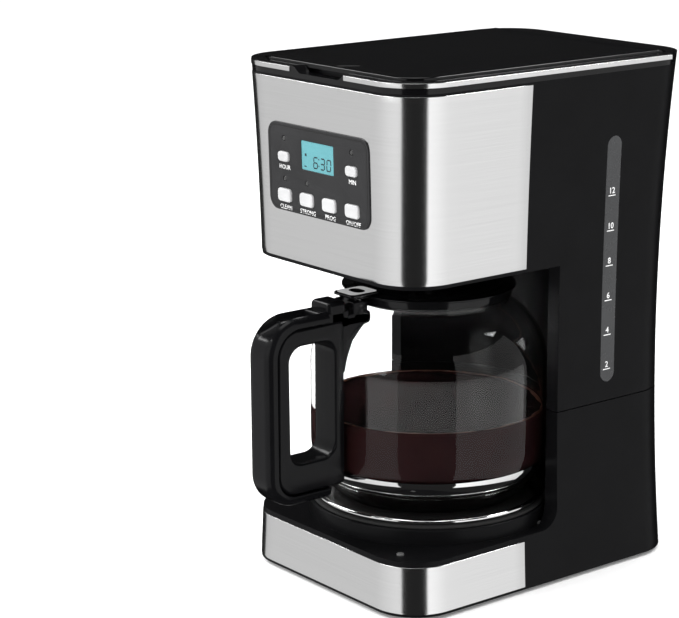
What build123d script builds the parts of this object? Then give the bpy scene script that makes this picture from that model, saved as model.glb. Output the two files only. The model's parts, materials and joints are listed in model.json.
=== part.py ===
from build123d import *
import math
import os

# Drip coffee maker. Millimetres, +Z up, front towards -Y, the water gauge on +X.
# The origin is on the table, under the middle of the whole object with its carafe docked.

# ---------------------------------------------------------------- body
BODY_WIDTH = 170.4              # widest plan section, at the top
WAIST_Z = 111.0                 # height of the seam between the two housings
HOUSING_TOP_Z = 319.5
HOUSING_FLOOR_Z = 2.5
# The hourglass: full width, front face and rear face of three plan sections.
FOOT_WIDTH, FOOT_FRONT, FOOT_REAR = BODY_WIDTH - 1.2, -94.0, 136.0
WAIST_WIDTH, WAIST_FRONT, WAIST_REAR = BODY_WIDTH - 8.0, -91.9, 131.6
TOP_WIDTH, TOP_FRONT, TOP_REAR = BODY_WIDTH, -95.1, 138.0
CORNER_R = 30.0
WALL = 3.2
SHEET = 0.8                     # steel band thickness
SKIN_GAP = 0.05                 # between a band and the recess that holds it
STEEL_REAR_Y = 0.0              # where both steel bands end on the sides

# ---------------------------------------------------------------- carafe
AXIS_Y = -7.5                   # axis of the carafe, plate and basket
GLASS_R = 75.2
GLASS_T = 2.4
GLASS_FOOT_Z = 52.2
HEEL_Z = 86.0                   # where the curved foot meets the straight barrel
HEEL_R = 44.7
SHOULDER_Z = 134.0
SHOULDER_R = 46.1
NECK_R = 50.5
NECK_TOP_Z = 182.0
FOOT_BAND_Z = (65.8, 75.5)
FOOT_BAND_T = 0.6
COLLAR_Z = (178.0, 184.0)
COLLAR_T = 2.4
COLLAR_GAP = 0.05
LID_FLANGE_R = NECK_R + 4.5
LID_FLANGE_Z = (184.2, 186.2)
LID_PLUG_R = NECK_R - 3.5
LID_PLUG_T, LID_PLUG_DEPTH = 2.0, 6.0
LID_DOME = 1.1
LID_TAB_HALF = 8.0
LID_HOLE_R = 2.5                # where the coffee drips through the carafe's lid
CARAFE_PIN_Y, CARAFE_PIN_Z = AXIS_Y - NECK_R - 12.0, 180.8
CARAFE_PIN_R = 1.5
LEVER_HALF = 10.0
LEVER_Y = (CARAFE_PIN_Y - 7.5, CARAFE_PIN_Y + 11.5)
LEVER_T, LEVER_CORNER_R = 1.8, 3.0
LEVER_WEB_HALF, LEVER_WEB_Y = 5.0, (-2.8, -1.2)
KNUCKLE_R, KNUCKLE_HALF = 3.2, 7.6
KNUCKLE_GAP = 0.35              # from the knuckle to the handle's bracket

# ---------------------------------------------------------------- carafe bay
BASE_TOP_Z = 37.0
HEAD_FLOOR_Z = 204.0
BAY_EDGE_Y = 28.0               # front edges of the column beside the carafe
BAY_FOOT_R = 13.0
BAY_R = GLASS_R + 4.3
BAY_WALL = 3.0
HEAD_FLOOR_T = 3.0
UPPER_BAND_Z = (HEAD_FLOOR_Z + 2.2, HOUSING_TOP_Z - 1.5)
BASE_BAND_Z = (4.0, BASE_TOP_Z - 3.4)

# ---------------------------------------------------------------- carafe handle
HANDLE_HALF = 10.4
FRAME_HALF = HANDLE_HALF - 0.6
HANDLE_BACK_Y = AXIS_Y - GLASS_R - 1.1
HANDLE_FRONT_Y = HANDLE_BACK_Y - 54.2
HANDLE_TOP_Z, HANDLE_BOTTOM_Z = 181.0, 63.5
HANDLE_TOP_R, HANDLE_BOTTOM_R = 21.0, 15.0
SHELL_T = 4.6
HANDLE_EDGE_R = 2.0
HANDLE_SEAM_Y = HANDLE_BACK_Y - 11.2    # where the shell ends and the neck bracket begins
THUMB_RECESS = (30.0, 13.0)     # length and width of the trough in the handle's top
THUMB_RECESS_Y = HANDLE_SEAM_Y - 19.0
GRIP_Y = (HANDLE_BACK_Y - 42.2, HANDLE_BACK_Y - 6.7)    # finger gap
GRIP_Z = (89.5, 163.0)
GRIP_R = 9.0
HUMP_Y, HUMP_Z = (HANDLE_BACK_Y - 10.2, CARAFE_PIN_Y - 10.0), (172.0, 186.0)
NECK_BLOCK_Y, NECK_BLOCK_Z = (CARAFE_PIN_Y - 10.5, CARAFE_PIN_Y + 12.0), (168.0, 176.0)
EAR_T, EAR_HALF, EAR_Z = 1.8, 4.5, (174.0, 183.4)

# ---------------------------------------------------------------- warming plate and heater
PLATE_R = GLASS_R - 2.2
PLATE_TOP_Z = 52.0
PLATE_T, PLATE_EDGE_R = 1.6, 1.2
SEAT_R = (PLATE_R - 3.0, PLATE_R + 4.0)     # raised seat around the opening in the base
SEAT_TOP_Z = 47.0
SEAL_T = 2.0
HEATER_R = 46.0
HEATER_TUBE_R = 5.0
HEATER_TUBE_PITCH = 11.0
HEATER_BORE_R = 3.0
HEATER_ARC, HEATER_TURN = 280.0, 130.0
BRACKET_HALF, BRACKET_T = (SEAT_R[0] - 8.0, 7.0), 1.5
THERMOSTAT_R, THERMOSTAT_Y = 9.0, AXIS_Y + 18.0
FUSE_R, FUSE_HALF, FUSE_DROP = 2.2, 16.0, 6.0
FUSE_Y = (AXIS_Y - 22.0, AXIS_Y - 30.0)

# ---------------------------------------------------------------- brewing parts
CHAMBER_R, CHAMBER_T = 68.5, 2.0
CHAMBER_FLOOR_Z = HEAD_FLOOR_Z + HEAD_FLOOR_T + 1.0
DECK_Z = (HOUSING_TOP_Z - 13.5, HOUSING_TOP_Z - 11.5)
BASKET_R, BASKET_T = CHAMBER_R - 2.5, 1.8
BASKET_TAPER = 8.0              # how much narrower the basket is at its floor
BASKET_FLOOR_Z = 222.0
BASKET_TOP_Z = DECK_Z[1] + 2.2
OUTLET_R, OUTLET_BORE_R = 13.0, 9.0
OUTLET_HOLE_R = OUTLET_R + 2.0
OUTLET_BOTTOM_Z = 199.0
FILTER_Z = (238.5, DECK_Z[0] - 1.0)
FILTER_T = 1.2
STEM_R = 3.0
STEM_GAP = 0.08
STEM_TIP_R, STEM_TIP_T, STEM_TIP_Z = 4.0, 3.5, 187.7
STOP_R, STOP_T = 6.4, 1.2
VALVE_R, VALVE_Z = 8.0, (BASKET_FLOOR_Z + 4.5, BASKET_FLOOR_Z + 6.0)
VALVE_SEAL_R, VALVE_SEAL_T = 10.6, 1.2
GUIDE_Z = (215.0, 218.0)
GUIDE_HOLE_R, GUIDE_HOLE_PITCH_R = 1.6, 6.0
SPRING_WIRE_R, SPRING_R, SPRING_TURNS = 0.4, 5.2, 4
SPRING_END_GAP = 0.05

# ---------------------------------------------------------------- water tank and gauge
TANK_X = (-56.0, BODY_WIDTH / 2 - 8.8)
TANK_Y = (55.0, 126.0)
TANK_Z = (116.0, HOUSING_TOP_Z - 15.5)
TANK_T = 2.0
TANK_REAR_R = 24.0
TANK_FRONT_GAP = 1.6            # between the tank's hollow front and the bay wall
TANK_MOUTH_X, TANK_MOUTH_Y = (-48.0, 66.0), (86.0, 120.0)
GAUGE_Y, GAUGE_WIDTH = 70.5, 12.0
GAUGE_Z = (123.5, 280.0)
GAUGE_X = TANK_X[1] + 1.5       # back of the window
INLET_X, INLET_Y, INLET_R = 34.0, 96.0, 3.0
STRAINER_R, STRAINER_T, STRAINER_H = 6.0, 1.2, 8.0
HOSE_R, HOSE_BORE_R = 5.0, 3.0
HOSE_Z = 22.0                   # height of the hoses in the base
INLET_BEND_R, INLET_END_Y = 16.0, 62.0
VALVE_BODY_R, VALVE_BODY_Y = 7.0, (48.0, 58.0)
VALVE_SPIGOT_R, VALVE_SPIGOT_Y, VALVE_BORE_R = 3.6, (41.0, 49.0), 2.0
RISER_X, RISER_Y, RISER_R = -67.0, 95.0, HOSE_R
RISER_START, RISER_KNEE_Y = (-30.0, 50.0), 78.0
RISER_BENDS = (9.0, 14.0)
NOZZLE_H, NOZZLE_BORE_R = 6.0, 2.4

# ---------------------------------------------------------------- bottom plate and its fittings
COVER_GAP, COVER_T = 0.2, 2.0
VENT_HALF, VENT_WIDTH, VENT_PITCH, VENT_START_Y, VENT_ROWS = 22.0, 4.0, 9.0, -30.0, 7
FOOT_X, FOOT_Y = BODY_WIDTH / 2 - 23.2, (-72.0, 106.0)
FOOT_R, FOOT_STUD_R, FOOT_STUD_H = 9.0, 2.95, 4.0
FOOT_PLACES = [(x, y) for x in (-FOOT_X, FOOT_X) for y in FOOT_Y]
SCREW_R, SCREW_HEAD_R, SCREW_HEAD_T = 1.6, 3.0, 2.0
SCREW_PLACES = [(x, y) for x in (-40, 40) for y in (-80, 118)]
GLAND_X, GLAND_Z, GLAND_R, GLAND_END_Y = 38.0, 26.0, 6.0, 138.0
GLAND_LENGTH, GLAND_BORE_R = 14.0, 3.6
GLAND_FLANGE_R, GLAND_FLANGE_T = GLAND_R + 2.5, 2.0
BOARD_X, BOARD_Y, BOARD_Z = (-24.0, 26.0), (78.0, 118.0), (9.0, 10.6)
TRANSFORMER_X, TRANSFORMER_Y, TRANSFORMER_TOP_Z = (-20.0, 0.0), (84.0, 104.0), 26.0
RELAY_X, RELAY_Y, RELAY_TOP_Z = (6.0, 22.0), (86.0, 102.0), 22.0

# ---------------------------------------------------------------- rim and lid
RIM_TOP_Z = HOUSING_TOP_Z + 7.0
STRIP_Z = (HOUSING_TOP_Z + 3.5, HOUSING_TOP_Z + 6.5)
STRIP_T = 0.8
STRIP_REAR_Y = 116.0
NOTCH_HALF, NOTCH_Z = 25.0, HOUSING_TOP_Z + 3.1
LID_HALF_WIDTH, LID_FRONT_Y = BODY_WIDTH / 2 - 9.0, -86.0
LID_FRONT_R, LID_REAR_R = 21.0, 3.0
LID_Z = (HOUSING_TOP_Z + 5.3, HOUSING_TOP_Z + 8.5)
LID_GAP = 0.8
LID_REAR_GAP = 2.0              # room for the barrel's corners as the lid swings past upright
HINGE_Y, HINGE_Z, HINGE_R = 114.0, HOUSING_TOP_Z + 2.5, 6.0
HINGE_PIN_R, PIN_GAP = 2.0, 0.05
HINGE_PIN_GRIP, HINGE_PIN_REACH = 5.0, 14.0     # how far a pin goes into the rim and the lid
LINER_MARGIN, LINER_REAR, LINER_T = 7.0, 12.0, 2.0
LINER_Z = HOUSING_TOP_Z - 3.5
LINER_FLOOR_T = 1.8
LINER_FRONT_R, LINER_REAR_R = 14.0, 4.0
SHOWER_R, SHOWER_T, SHOWER_FLOOR_T = 38.0, 5.5, 1.5
SHOWER_RINGS = ((10, 6), (20, 12), (30, 18))    # (ring radius, holes)
SHOWER_HOLE_R = 1.2

# ---------------------------------------------------------------- control panel
PANEL_X, PANEL_Y, PANEL_Z = -0.7, -93.72, 263.7
PANEL_LEAN = 1.45               # degrees that the front face leans forward
PANEL_W, PANEL_H, PANEL_R, PANEL_T = 98.0, 54.5, 7.0, 2.4
PANEL_PROUD = 0.4
PANEL_GAP = 0.2
DISPLAY_W, DISPLAY_H, DISPLAY_DY, DISPLAY_R = 31.2, 17.8, 9.9, 0.5
WINDOW_GAP, WINDOW_DEPTH = 0.1, (-1.0, 0.1)
CELL_MARGIN, CELL_DEPTH = (5.0, 4.0), (-4.6, -2.1)
CONTROL_BOARD_MARGIN, CONTROL_BOARD_DEPTH = (8.0, 4.0), (-9.6, -8.0)
KEY_TRAVEL, KEY_GAP, KEY_CORNER_R, KEY_EDGE_R = 1.2, 0.3, 2.4, 0.7
KEY_PROUD = KEY_TRAVEL + 0.4
KEY_FOOT_LIP, KEY_FOOT_DEPTH = 1.0, (-1.4, -0.2)
# key name: (x, height above the panel's middle, width, height)
KEYS = {
    "hour_button": (-33.0, 6.5, 10.4, 6.2),
    "minute_button": (33.0, 6.5, 10.4, 6.2),
    "clean_button": (-33.0, -17.4, 12.8, 8.2),
    "strong_button": (-11.0, -17.4, 12.8, 8.2),
    "program_button": (11.0, -17.4, 12.8, 8.2),
    "power_button": (33.0, -17.4, 12.8, 8.2),
}
LAMP_R, LAMP_LENGTH = 1.7, 3.0
LAMPS = [(-33.0, 17.6), (33.0, 17.6), (-33.0, -7.3), (-11.0, -7.3)]

FAR = 400.0                     # longer than the object, for cutting blocks


# ---------------------------------------------------------------- shared shapes
def block(x, y, z):
    """A box given by its low and high corner on each axis."""
    size = (x[1] - x[0], y[1] - y[0], z[1] - z[0])
    return Pos((x[0] + x[1]) / 2, (y[0] + y[1]) / 2, (z[0] + z[1]) / 2) * Box(*size)


def slab(z):
    """Everything between two heights."""
    return block((-FAR, FAR), (-FAR, FAR), z)


def disc(radius, z, y=AXIS_Y, x=0.0):
    """An upright cylinder between two heights, on the carafe axis unless told."""
    return Pos(x, y, (z[0] + z[1]) / 2) * Cylinder(radius, z[1] - z[0])


def ring(outer, inner, z, y=AXIS_Y, x=0.0):
    """An upright tube between two heights."""
    return disc(outer, z, y, x) - disc(inner, z, y, x)


def rod(radius, x, y, z):
    """A cylinder along X."""
    length = x[1] - x[0]
    return Pos((x[0] + x[1]) / 2, y, z) * Rot(0, 90, 0) * Cylinder(radius, length)


def section(z, width, front, rear, inset):
    """The body's plan at one height, inset from its outer face."""
    plan = RectangleRounded(width - 2 * inset, rear - front - 2 * inset, CORNER_R - inset)
    return Pos(0, (front + rear) / 2, z) * plan


def form(inset, z, y_max=FAR):
    """The hourglass body between two heights, inset from its outer face."""
    sections = [
        section(0.0, FOOT_WIDTH, FOOT_FRONT, FOOT_REAR, inset),
        section(WAIST_Z, WAIST_WIDTH, WAIST_FRONT, WAIST_REAR, inset),
        section(HOUSING_TOP_Z + 0.5, TOP_WIDTH, TOP_FRONT, TOP_REAR, inset),
    ]
    return loft(sections) & block((-FAR, FAR), (-FAR, y_max), z)


def revolved(points):
    """A solid turned about the carafe axis from a closed (radius, height) outline."""
    face = make_face(Polyline(points, close=True))
    return Pos(0, AXIS_Y, 0) * revolve(Plane.XZ * face, Axis.Z)


def front_rounded(half_width, front, rear, front_r, rear_r):
    """A plate outline with its own radii at the front and rear corners."""
    plan = Pos(0, (front + rear) / 2) * Rectangle(2 * half_width, rear - front)
    plan = fillet(plan.vertices().group_by(Axis.Y)[0], front_r)
    return fillet(plan.vertices().group_by(Axis.Y)[-1], rear_r)


def on_panel(x, dy, depth=0.0):
    """A place on the control panel: across, up and out from its front plane."""
    lean = math.radians(PANEL_LEAN)
    plane = Plane(
        origin=(PANEL_X, PANEL_Y, PANEL_Z),
        x_dir=(1, 0, 0),
        z_dir=(0, -math.cos(lean), -math.sin(lean)),
    )
    return plane * Pos(x, dy, depth)


def panel_block(x, dy, width, height, radius, depth):
    """A rounded plate lying in the panel, from depth[0] to depth[1] outwards."""
    plate = extrude(RectangleRounded(width, height, radius), depth[1] - depth[0])
    return on_panel(x, dy, depth[0]) * plate


def hose(points, radii, outer, inner):
    """A hose along straight runs joined by tangent arcs."""
    path = FilletPolyline(*points, radius=radii)
    start = Plane(origin=path @ 0, z_dir=path % 0)
    return sweep(start * (Circle(outer) - Circle(inner)), path=path)


# ---------------------------------------------------------------- housings
def bay_cut():
    """The space that the carafe slides into, open to the front and both sides."""
    outline = Pos((BAY_EDGE_Y - FAR) / 2, (BASE_TOP_Z + HEAD_FLOOR_Z) / 2) * Rectangle(
        BAY_EDGE_Y + FAR, HEAD_FLOOR_Z - BASE_TOP_Z
    )
    foot = outline.vertices().sort_by_distance((BAY_EDGE_Y, BASE_TOP_Z, 0))[0]
    outline = fillet(foot, BAY_FOOT_R)
    return extrude(Plane.YZ * outline, amount=FAR / 2, both=True)


def bay_recess():
    """The round recess in the column behind the carafe."""
    return disc(BAY_R, (BASE_TOP_Z, HEAD_FLOOR_Z))


def column_space(z):
    """The hollow inside the column, behind the curved wall of the bay."""
    hollow = form(WALL, z) & block((-FAR, FAR), (BAY_EDGE_Y + BAY_WALL, FAR), z)
    return hollow - disc(BAY_R + BAY_WALL, (z[0] - 1, z[1] + 1))


def band_recess(z):
    """What is cut from a housing to let a steel band lie flush."""
    zone = block((-FAR, FAR), (-FAR, STEEL_REAR_Y + SKIN_GAP), (z[0] - SKIN_GAP, z[1] + SKIN_GAP))
    return zone - form(SHEET + SKIN_GAP, (z[0] - 1, z[1] + 1))


def panel_opening(gap):
    """The opening for the control panel through the band and the housing."""
    return panel_block(0, 0, PANEL_W + 2 * gap, PANEL_H + 2 * gap, PANEL_R + gap, (-12, 6))


def gauge_slot(gap, x):
    """The upright slot for the water gauge, in the right-hand wall."""
    height = GAUGE_Z[1] - GAUGE_Z[0]
    outline = Rot(0, 0, 90) * SlotOverall(height - 2 * gap, GAUGE_WIDTH - 2 * gap)
    outline = Pos(GAUGE_Y, (GAUGE_Z[0] + GAUGE_Z[1]) / 2) * outline
    return Pos(x[0], 0, 0) * extrude(Plane.YZ * outline, amount=x[1] - x[0])


def upper_housing():
    """The head and the upper half of the column."""
    shell = form(0, (WAIST_Z, HOUSING_TOP_Z)) - bay_cut() - bay_recess()
    shell -= form(WALL, (HEAD_FLOOR_Z + HEAD_FLOOR_T, HOUSING_TOP_Z + 1))
    shell -= column_space((WAIST_Z - 1, HEAD_FLOOR_Z + HEAD_FLOOR_T + 1))
    shell -= band_recess(UPPER_BAND_Z)
    shell -= disc(OUTLET_HOLE_R, (HEAD_FLOOR_Z - 1, HEAD_FLOOR_Z + HEAD_FLOOR_T + 1))
    shell -= panel_opening(PANEL_GAP)
    return shell - gauge_slot(0, (BODY_WIDTH / 4, BODY_WIDTH))


def lower_housing():
    """The base with the plate's seat, and the lower half of the column."""
    shell = form(0, (HOUSING_FLOOR_Z, WAIST_Z)) - bay_cut() - bay_recess()
    shell -= form(WALL, (HOUSING_FLOOR_Z - 1, BASE_TOP_Z - WALL))
    shell -= column_space((BASE_TOP_Z - WALL - 1, WAIST_Z + 1))
    shell -= band_recess(BASE_BAND_Z)
    shell += disc(SEAT_R[1], (BASE_TOP_Z - WALL, SEAT_TOP_Z))
    shell -= disc(SEAT_R[0], (BASE_TOP_Z - WALL - 1, SEAT_TOP_Z + 1))
    return shell - gland_hole()


def gland_hole():
    """The hole for the cord gland, low in the rear wall."""
    return Pos(GLAND_X, GLAND_END_Y - 10, GLAND_Z) * Rot(90, 0, 0) * Cylinder(GLAND_R + 0.05, 40)


def base_cover():
    """The bottom plate, with slots for air and holes for the feet and screws."""
    cover = form(WALL + COVER_GAP, (HOUSING_FLOOR_Z, HOUSING_FLOOR_Z + COVER_T))
    through = (0, HOUSING_FLOOR_Z + 2 * COVER_T)
    for row in range(VENT_ROWS):
        y = VENT_START_Y + row * VENT_PITCH
        cover -= block((-VENT_HALF, VENT_HALF), (y, y + VENT_WIDTH), through)
    for x, y in FOOT_PLACES:
        cover -= disc(FOOT_STUD_R + SKIN_GAP, through, y, x)
    for x, y in SCREW_PLACES:
        cover -= disc(SCREW_R + COVER_GAP, through, y, x)
    return cover


def steel_band(z):
    """A sheet-steel band round the front and sides, flush with the housing."""
    return form(0, z, STEEL_REAR_Y) - form(SHEET, (z[0] - 1, z[1] + 1))


def rubber_feet():
    """Four feet, each with a stud through the bottom plate."""
    feet = Part()
    for x, y in FOOT_PLACES:
        feet += disc(FOOT_R, (0, HOUSING_FLOOR_Z), y, x)
        feet += disc(FOOT_STUD_R, (HOUSING_FLOOR_Z, HOUSING_FLOOR_Z + FOOT_STUD_H), y, x)
    return feet


def case_screws():
    """The bottom plate's screws."""
    screws = Part()
    for x, y in SCREW_PLACES:
        top = HOUSING_FLOOR_Z + COVER_T
        screws += disc(SCREW_HEAD_R, (top, top + SCREW_HEAD_T), y, x)
        screws += disc(SCREW_R, (HOUSING_FLOOR_Z - 1, top), y, x)
    return screws


def cord_gland():
    """The gland in the rear wall that a mains lead would leave through."""
    turn = Rot(90, 0, 0)
    place = Pos(GLAND_X, GLAND_END_Y - GLAND_LENGTH / 2, GLAND_Z) * turn
    flange = Pos(GLAND_X, GLAND_END_Y - GLAND_FLANGE_T / 2, GLAND_Z) * turn
    gland = place * Cylinder(GLAND_R, GLAND_LENGTH) + flange * Cylinder(GLAND_FLANGE_R, GLAND_FLANGE_T)
    return gland - place * Cylinder(GLAND_BORE_R, 2 * GLAND_LENGTH)


# ---------------------------------------------------------------- rim and lid
def rim_outline(inset):
    """The rim's outer plan, which continues the top of the body."""
    return section(0.0, TOP_WIDTH, TOP_FRONT, TOP_REAR, inset)


def prism(outline, z):
    """An upright prism of a plan between two heights."""
    return Pos(0, 0, z[0]) * extrude(outline, z[1] - z[0])


def top_rim():
    """The black rim on the housing, with the lid's opening and finger notch."""
    rim = prism(rim_outline(0), (HOUSING_TOP_Z, RIM_TOP_Z))
    opening = front_rounded(
        LID_HALF_WIDTH + LID_GAP,
        LID_FRONT_Y - LID_GAP,
        HINGE_Y + HINGE_R + LID_REAR_GAP,
        LID_FRONT_R + LID_GAP,
        LID_REAR_R,
    )
    rim -= prism(opening, (HOUSING_TOP_Z - 1, RIM_TOP_Z + 1))
    rim -= strip_zone(SKIN_GAP) - prism(rim_outline(STRIP_T + SKIN_GAP), STRIP_Z)
    rim -= block((-NOTCH_HALF, NOTCH_HALF), (-FAR, LID_FRONT_Y), (NOTCH_Z, FAR))
    pin = LID_HALF_WIDTH + LID_GAP + HINGE_PIN_GRIP
    return rim - rod(HINGE_PIN_R, (-pin, pin), HINGE_Y, HINGE_Z)


def strip_zone(gap):
    """The band of heights and depths that the bright strip runs through."""
    zone = slab((STRIP_Z[0] - gap, STRIP_Z[1] + gap))
    zone &= block((-FAR, FAR), (-FAR, STRIP_REAR_Y + gap), (0, FAR))
    notch = NOTCH_HALF + 1 - gap
    return zone - block((-notch, notch), (-FAR, 0), (0, FAR))


def trim_strip():
    """The bright strip let into the rim, cut away at the finger notch."""
    strip = prism(rim_outline(0), STRIP_Z) - prism(rim_outline(STRIP_T), STRIP_Z)
    return strip & strip_zone(0)


def lid():
    """The outer lid, with a barrel along its rear edge that turns on two pins."""
    rear = HINGE_Y + HINGE_R
    outline = front_rounded(LID_HALF_WIDTH, LID_FRONT_Y, rear, LID_FRONT_R, LID_REAR_R)
    plate = prism(outline, LID_Z)
    barrel = rod(HINGE_R, (-LID_HALF_WIDTH, LID_HALF_WIDTH), HINGE_Y, HINGE_Z)
    plate -= block((-FAR, FAR), (HINGE_Y, FAR), (0, FAR))
    pin = rod(HINGE_PIN_R + PIN_GAP, (-FAR, FAR), HINGE_Y, HINGE_Z)
    return plate + barrel - pin


def lid_liner():
    """The lid's inner tray, hollow towards the lid."""
    half, front, rear = LID_HALF_WIDTH - LINER_MARGIN, LID_FRONT_Y + LINER_MARGIN + 1, HINGE_Y - LINER_REAR
    outline = front_rounded(half, front, rear, LINER_FRONT_R, LINER_REAR_R)
    hollow = front_rounded(
        half - LINER_T, front + LINER_T, rear - LINER_T, LINER_FRONT_R - LINER_T, LINER_REAR_R - LINER_T / 2
    )
    tray = prism(outline, (LINER_Z, LID_Z[0]))
    return tray - prism(hollow, (LINER_Z + LINER_FLOOR_T, LID_Z[0] + 1))


def shower_head():
    """The spray plate under the lid, with rings of holes over the coffee."""
    low = LINER_Z - SHOWER_T
    head = disc(SHOWER_R, (low, LINER_Z)) - disc(SHOWER_R - LINER_T, (low + SHOWER_FLOOR_T, LINER_Z + 1))
    for radius, count in SHOWER_RINGS:
        for turn in range(count):
            angle = 2 * math.pi * turn / count
            x = radius * math.cos(angle)
            y = AXIS_Y + radius * math.sin(angle)
            head -= disc(SHOWER_HOLE_R, (low - 1, low + SHOWER_FLOOR_T + 1), y, x)
    return head


def hinge_pins():
    """The lid's two pins, held in the sides of the rim."""
    outer, inner = LID_HALF_WIDTH + LID_GAP + HINGE_PIN_GRIP, LID_HALF_WIDTH - HINGE_PIN_REACH
    left = rod(HINGE_PIN_R, (-outer, -inner), HINGE_Y, HINGE_Z)
    return left + rod(HINGE_PIN_R, (inner, outer), HINGE_Y, HINGE_Z)


def top_deck():
    """The inner deck under the lid, open over the basket and the tank."""
    through = (DECK_Z[0] - 1, DECK_Z[1] + 1)
    deck = form(WALL + 0.3, DECK_Z) - disc(CHAMBER_R, through)
    deck -= block(TANK_MOUTH_X, TANK_MOUTH_Y, through)
    return deck - disc(RISER_R + 0.3, through, RISER_Y, RISER_X)


# ---------------------------------------------------------------- water tank
def tank_plan(inset):
    """The tank's plan: a block with a hollow front that clears the bay wall."""
    width = TANK_X[1] - TANK_X[0] - 2 * inset
    depth = TANK_Y[1] - TANK_Y[0] - 2 * inset
    middle = Pos((TANK_X[0] + TANK_X[1]) / 2, (TANK_Y[0] + TANK_Y[1]) / 2)
    plan = middle * Rectangle(width, depth)
    rear = plan.vertices().group_by(Axis.Y)[-1]
    plan = fillet(rear, TANK_REAR_R - inset)
    return plan - Pos(0, AXIS_Y) * Circle(BAY_R + BAY_WALL + TANK_FRONT_GAP + inset)


def water_tank():
    """The open-topped tank inside the column."""
    tank = prism(tank_plan(0), TANK_Z)
    tank -= prism(tank_plan(TANK_T), (TANK_Z[0] + TANK_T, TANK_Z[1] + 1))
    return tank - disc(INLET_R, (TANK_Z[0] - 1, TANK_Z[0] + TANK_T + 1), INLET_Y, INLET_X)


def gauge_window():
    """The clear window over the tank's level, flush with the housing."""
    return form(0.2, GAUGE_Z) & gauge_slot(0.1, (GAUGE_X, BODY_WIDTH))


def tank_strainer():
    """The domed strainer over the tank's outlet."""
    low = TANK_Z[0] + TANK_T
    high = low + STRAINER_H
    cup = ring(STRAINER_R, STRAINER_R - STRAINER_T, (low, high), INLET_Y, INLET_X)
    return cup + disc(STRAINER_R, (high, high + STRAINER_T), INLET_Y, INLET_X)


# ---------------------------------------------------------------- brewing parts
def brew_chamber():
    """The fixed cup in the head that the basket hangs in."""
    floor = CHAMBER_FLOOR_Z
    cup = disc(CHAMBER_R + CHAMBER_T, (floor, DECK_Z[0]))
    cup -= disc(CHAMBER_R, (floor + CHAMBER_T, DECK_Z[0] + 1))
    return cup - disc(OUTLET_HOLE_R, (floor - 1, floor + CHAMBER_T + 1))


def filter_basket():
    """The removable basket, hung by its flange, with an outlet at the bottom."""
    low = BASKET_R - BASKET_TAPER
    cup = revolved([
        (OUTLET_BORE_R, OUTLET_BOTTOM_Z),
        (OUTLET_R, OUTLET_BOTTOM_Z),
        (OUTLET_R, BASKET_FLOOR_Z - 2),
        (low, BASKET_FLOOR_Z + 4),
        (BASKET_R, DECK_Z[1] + 0.2),
        (CHAMBER_R + 3, DECK_Z[1] + 0.2),
        (CHAMBER_R + 3, BASKET_TOP_Z),
        (BASKET_R - BASKET_T, BASKET_TOP_Z),
        (low - BASKET_T, BASKET_FLOOR_Z + 6),
        (OUTLET_BORE_R, BASKET_FLOOR_Z),
    ])
    through = (GUIDE_Z[0] - 1, GUIDE_Z[1] + 1)
    guide = disc(OUTLET_BORE_R + 0.5, GUIDE_Z) - disc(STEM_R + STEM_GAP, through)
    for turn in range(4):
        angle = math.pi / 4 + turn * math.pi / 2
        x, y = GUIDE_HOLE_PITCH_R * math.cos(angle), GUIDE_HOLE_PITCH_R * math.sin(angle)
        guide -= disc(GUIDE_HOLE_R, through, AXIS_Y + y, x)
    return cup + guide


def mesh_filter():
    """The permanent fine-mesh cone that holds the coffee."""
    top, low, brim = BASKET_R - 4.5, BASKET_R - 20, BASKET_R - 2.4
    floor, high = FILTER_Z
    return revolved([
        (0, floor), (low, floor), (top, high), (brim, high), (brim, high + 1.5),
        (top - FILTER_T, high + 1.5), (low - 1.0, floor + FILTER_T), (0, floor + FILTER_T),
    ])


def stop_top():
    """The height of the collar on the stem that the spring stands on."""
    return OUTLET_BOTTOM_Z + 1.5


def drip_stop_plunger():
    """The valve that the docked carafe's lid holds open, raised from its seat."""
    stem = disc(STEM_R, (STEM_TIP_Z + STEM_TIP_T - 0.5, VALVE_Z[0]))
    tip = disc(STEM_TIP_R, (STEM_TIP_Z, STEM_TIP_Z + STEM_TIP_T))
    stop = disc(STOP_R, (stop_top() - STOP_T, stop_top()))
    cap = disc(VALVE_R, VALVE_Z)
    return stem + tip + stop + cap


def drip_stop_seal():
    """The soft ring under the valve's head."""
    return ring(VALVE_SEAL_R, STEM_R, (VALVE_Z[0] - VALVE_SEAL_T, VALVE_Z[0]))


def drip_stop_spring():
    """The spring that closes the valve when the carafe is taken away."""
    low = stop_top() + SPRING_WIRE_R + SPRING_END_GAP
    height = GUIDE_Z[0] - SPRING_WIRE_R - SPRING_END_GAP - low
    path = Pos(0, AXIS_Y, low) * Helix(height / SPRING_TURNS, height, SPRING_R)
    start = Plane(origin=path @ 0, z_dir=path % 0)
    return sweep(start * Circle(SPRING_WIRE_R), path=path, is_frenet=True)


# ---------------------------------------------------------------- plate, heater and hoses
def warming_plate():
    """The enamelled plate, with its edge turned down over the seal."""
    plate = disc(PLATE_R, (SEAT_TOP_Z + SEAL_T, PLATE_TOP_Z))
    plate = fillet(plate.edges().group_by(Axis.Z)[-1], PLATE_EDGE_R)
    return plate - disc(PLATE_R - PLATE_T, (SEAT_TOP_Z, PLATE_TOP_Z - PLATE_T))


def plate_seal():
    """The soft ring between the plate's edge and its seat."""
    return ring(PLATE_R + 1.5, SEAT_R[0], (SEAT_TOP_Z, SEAT_TOP_Z + SEAL_T))


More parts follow.
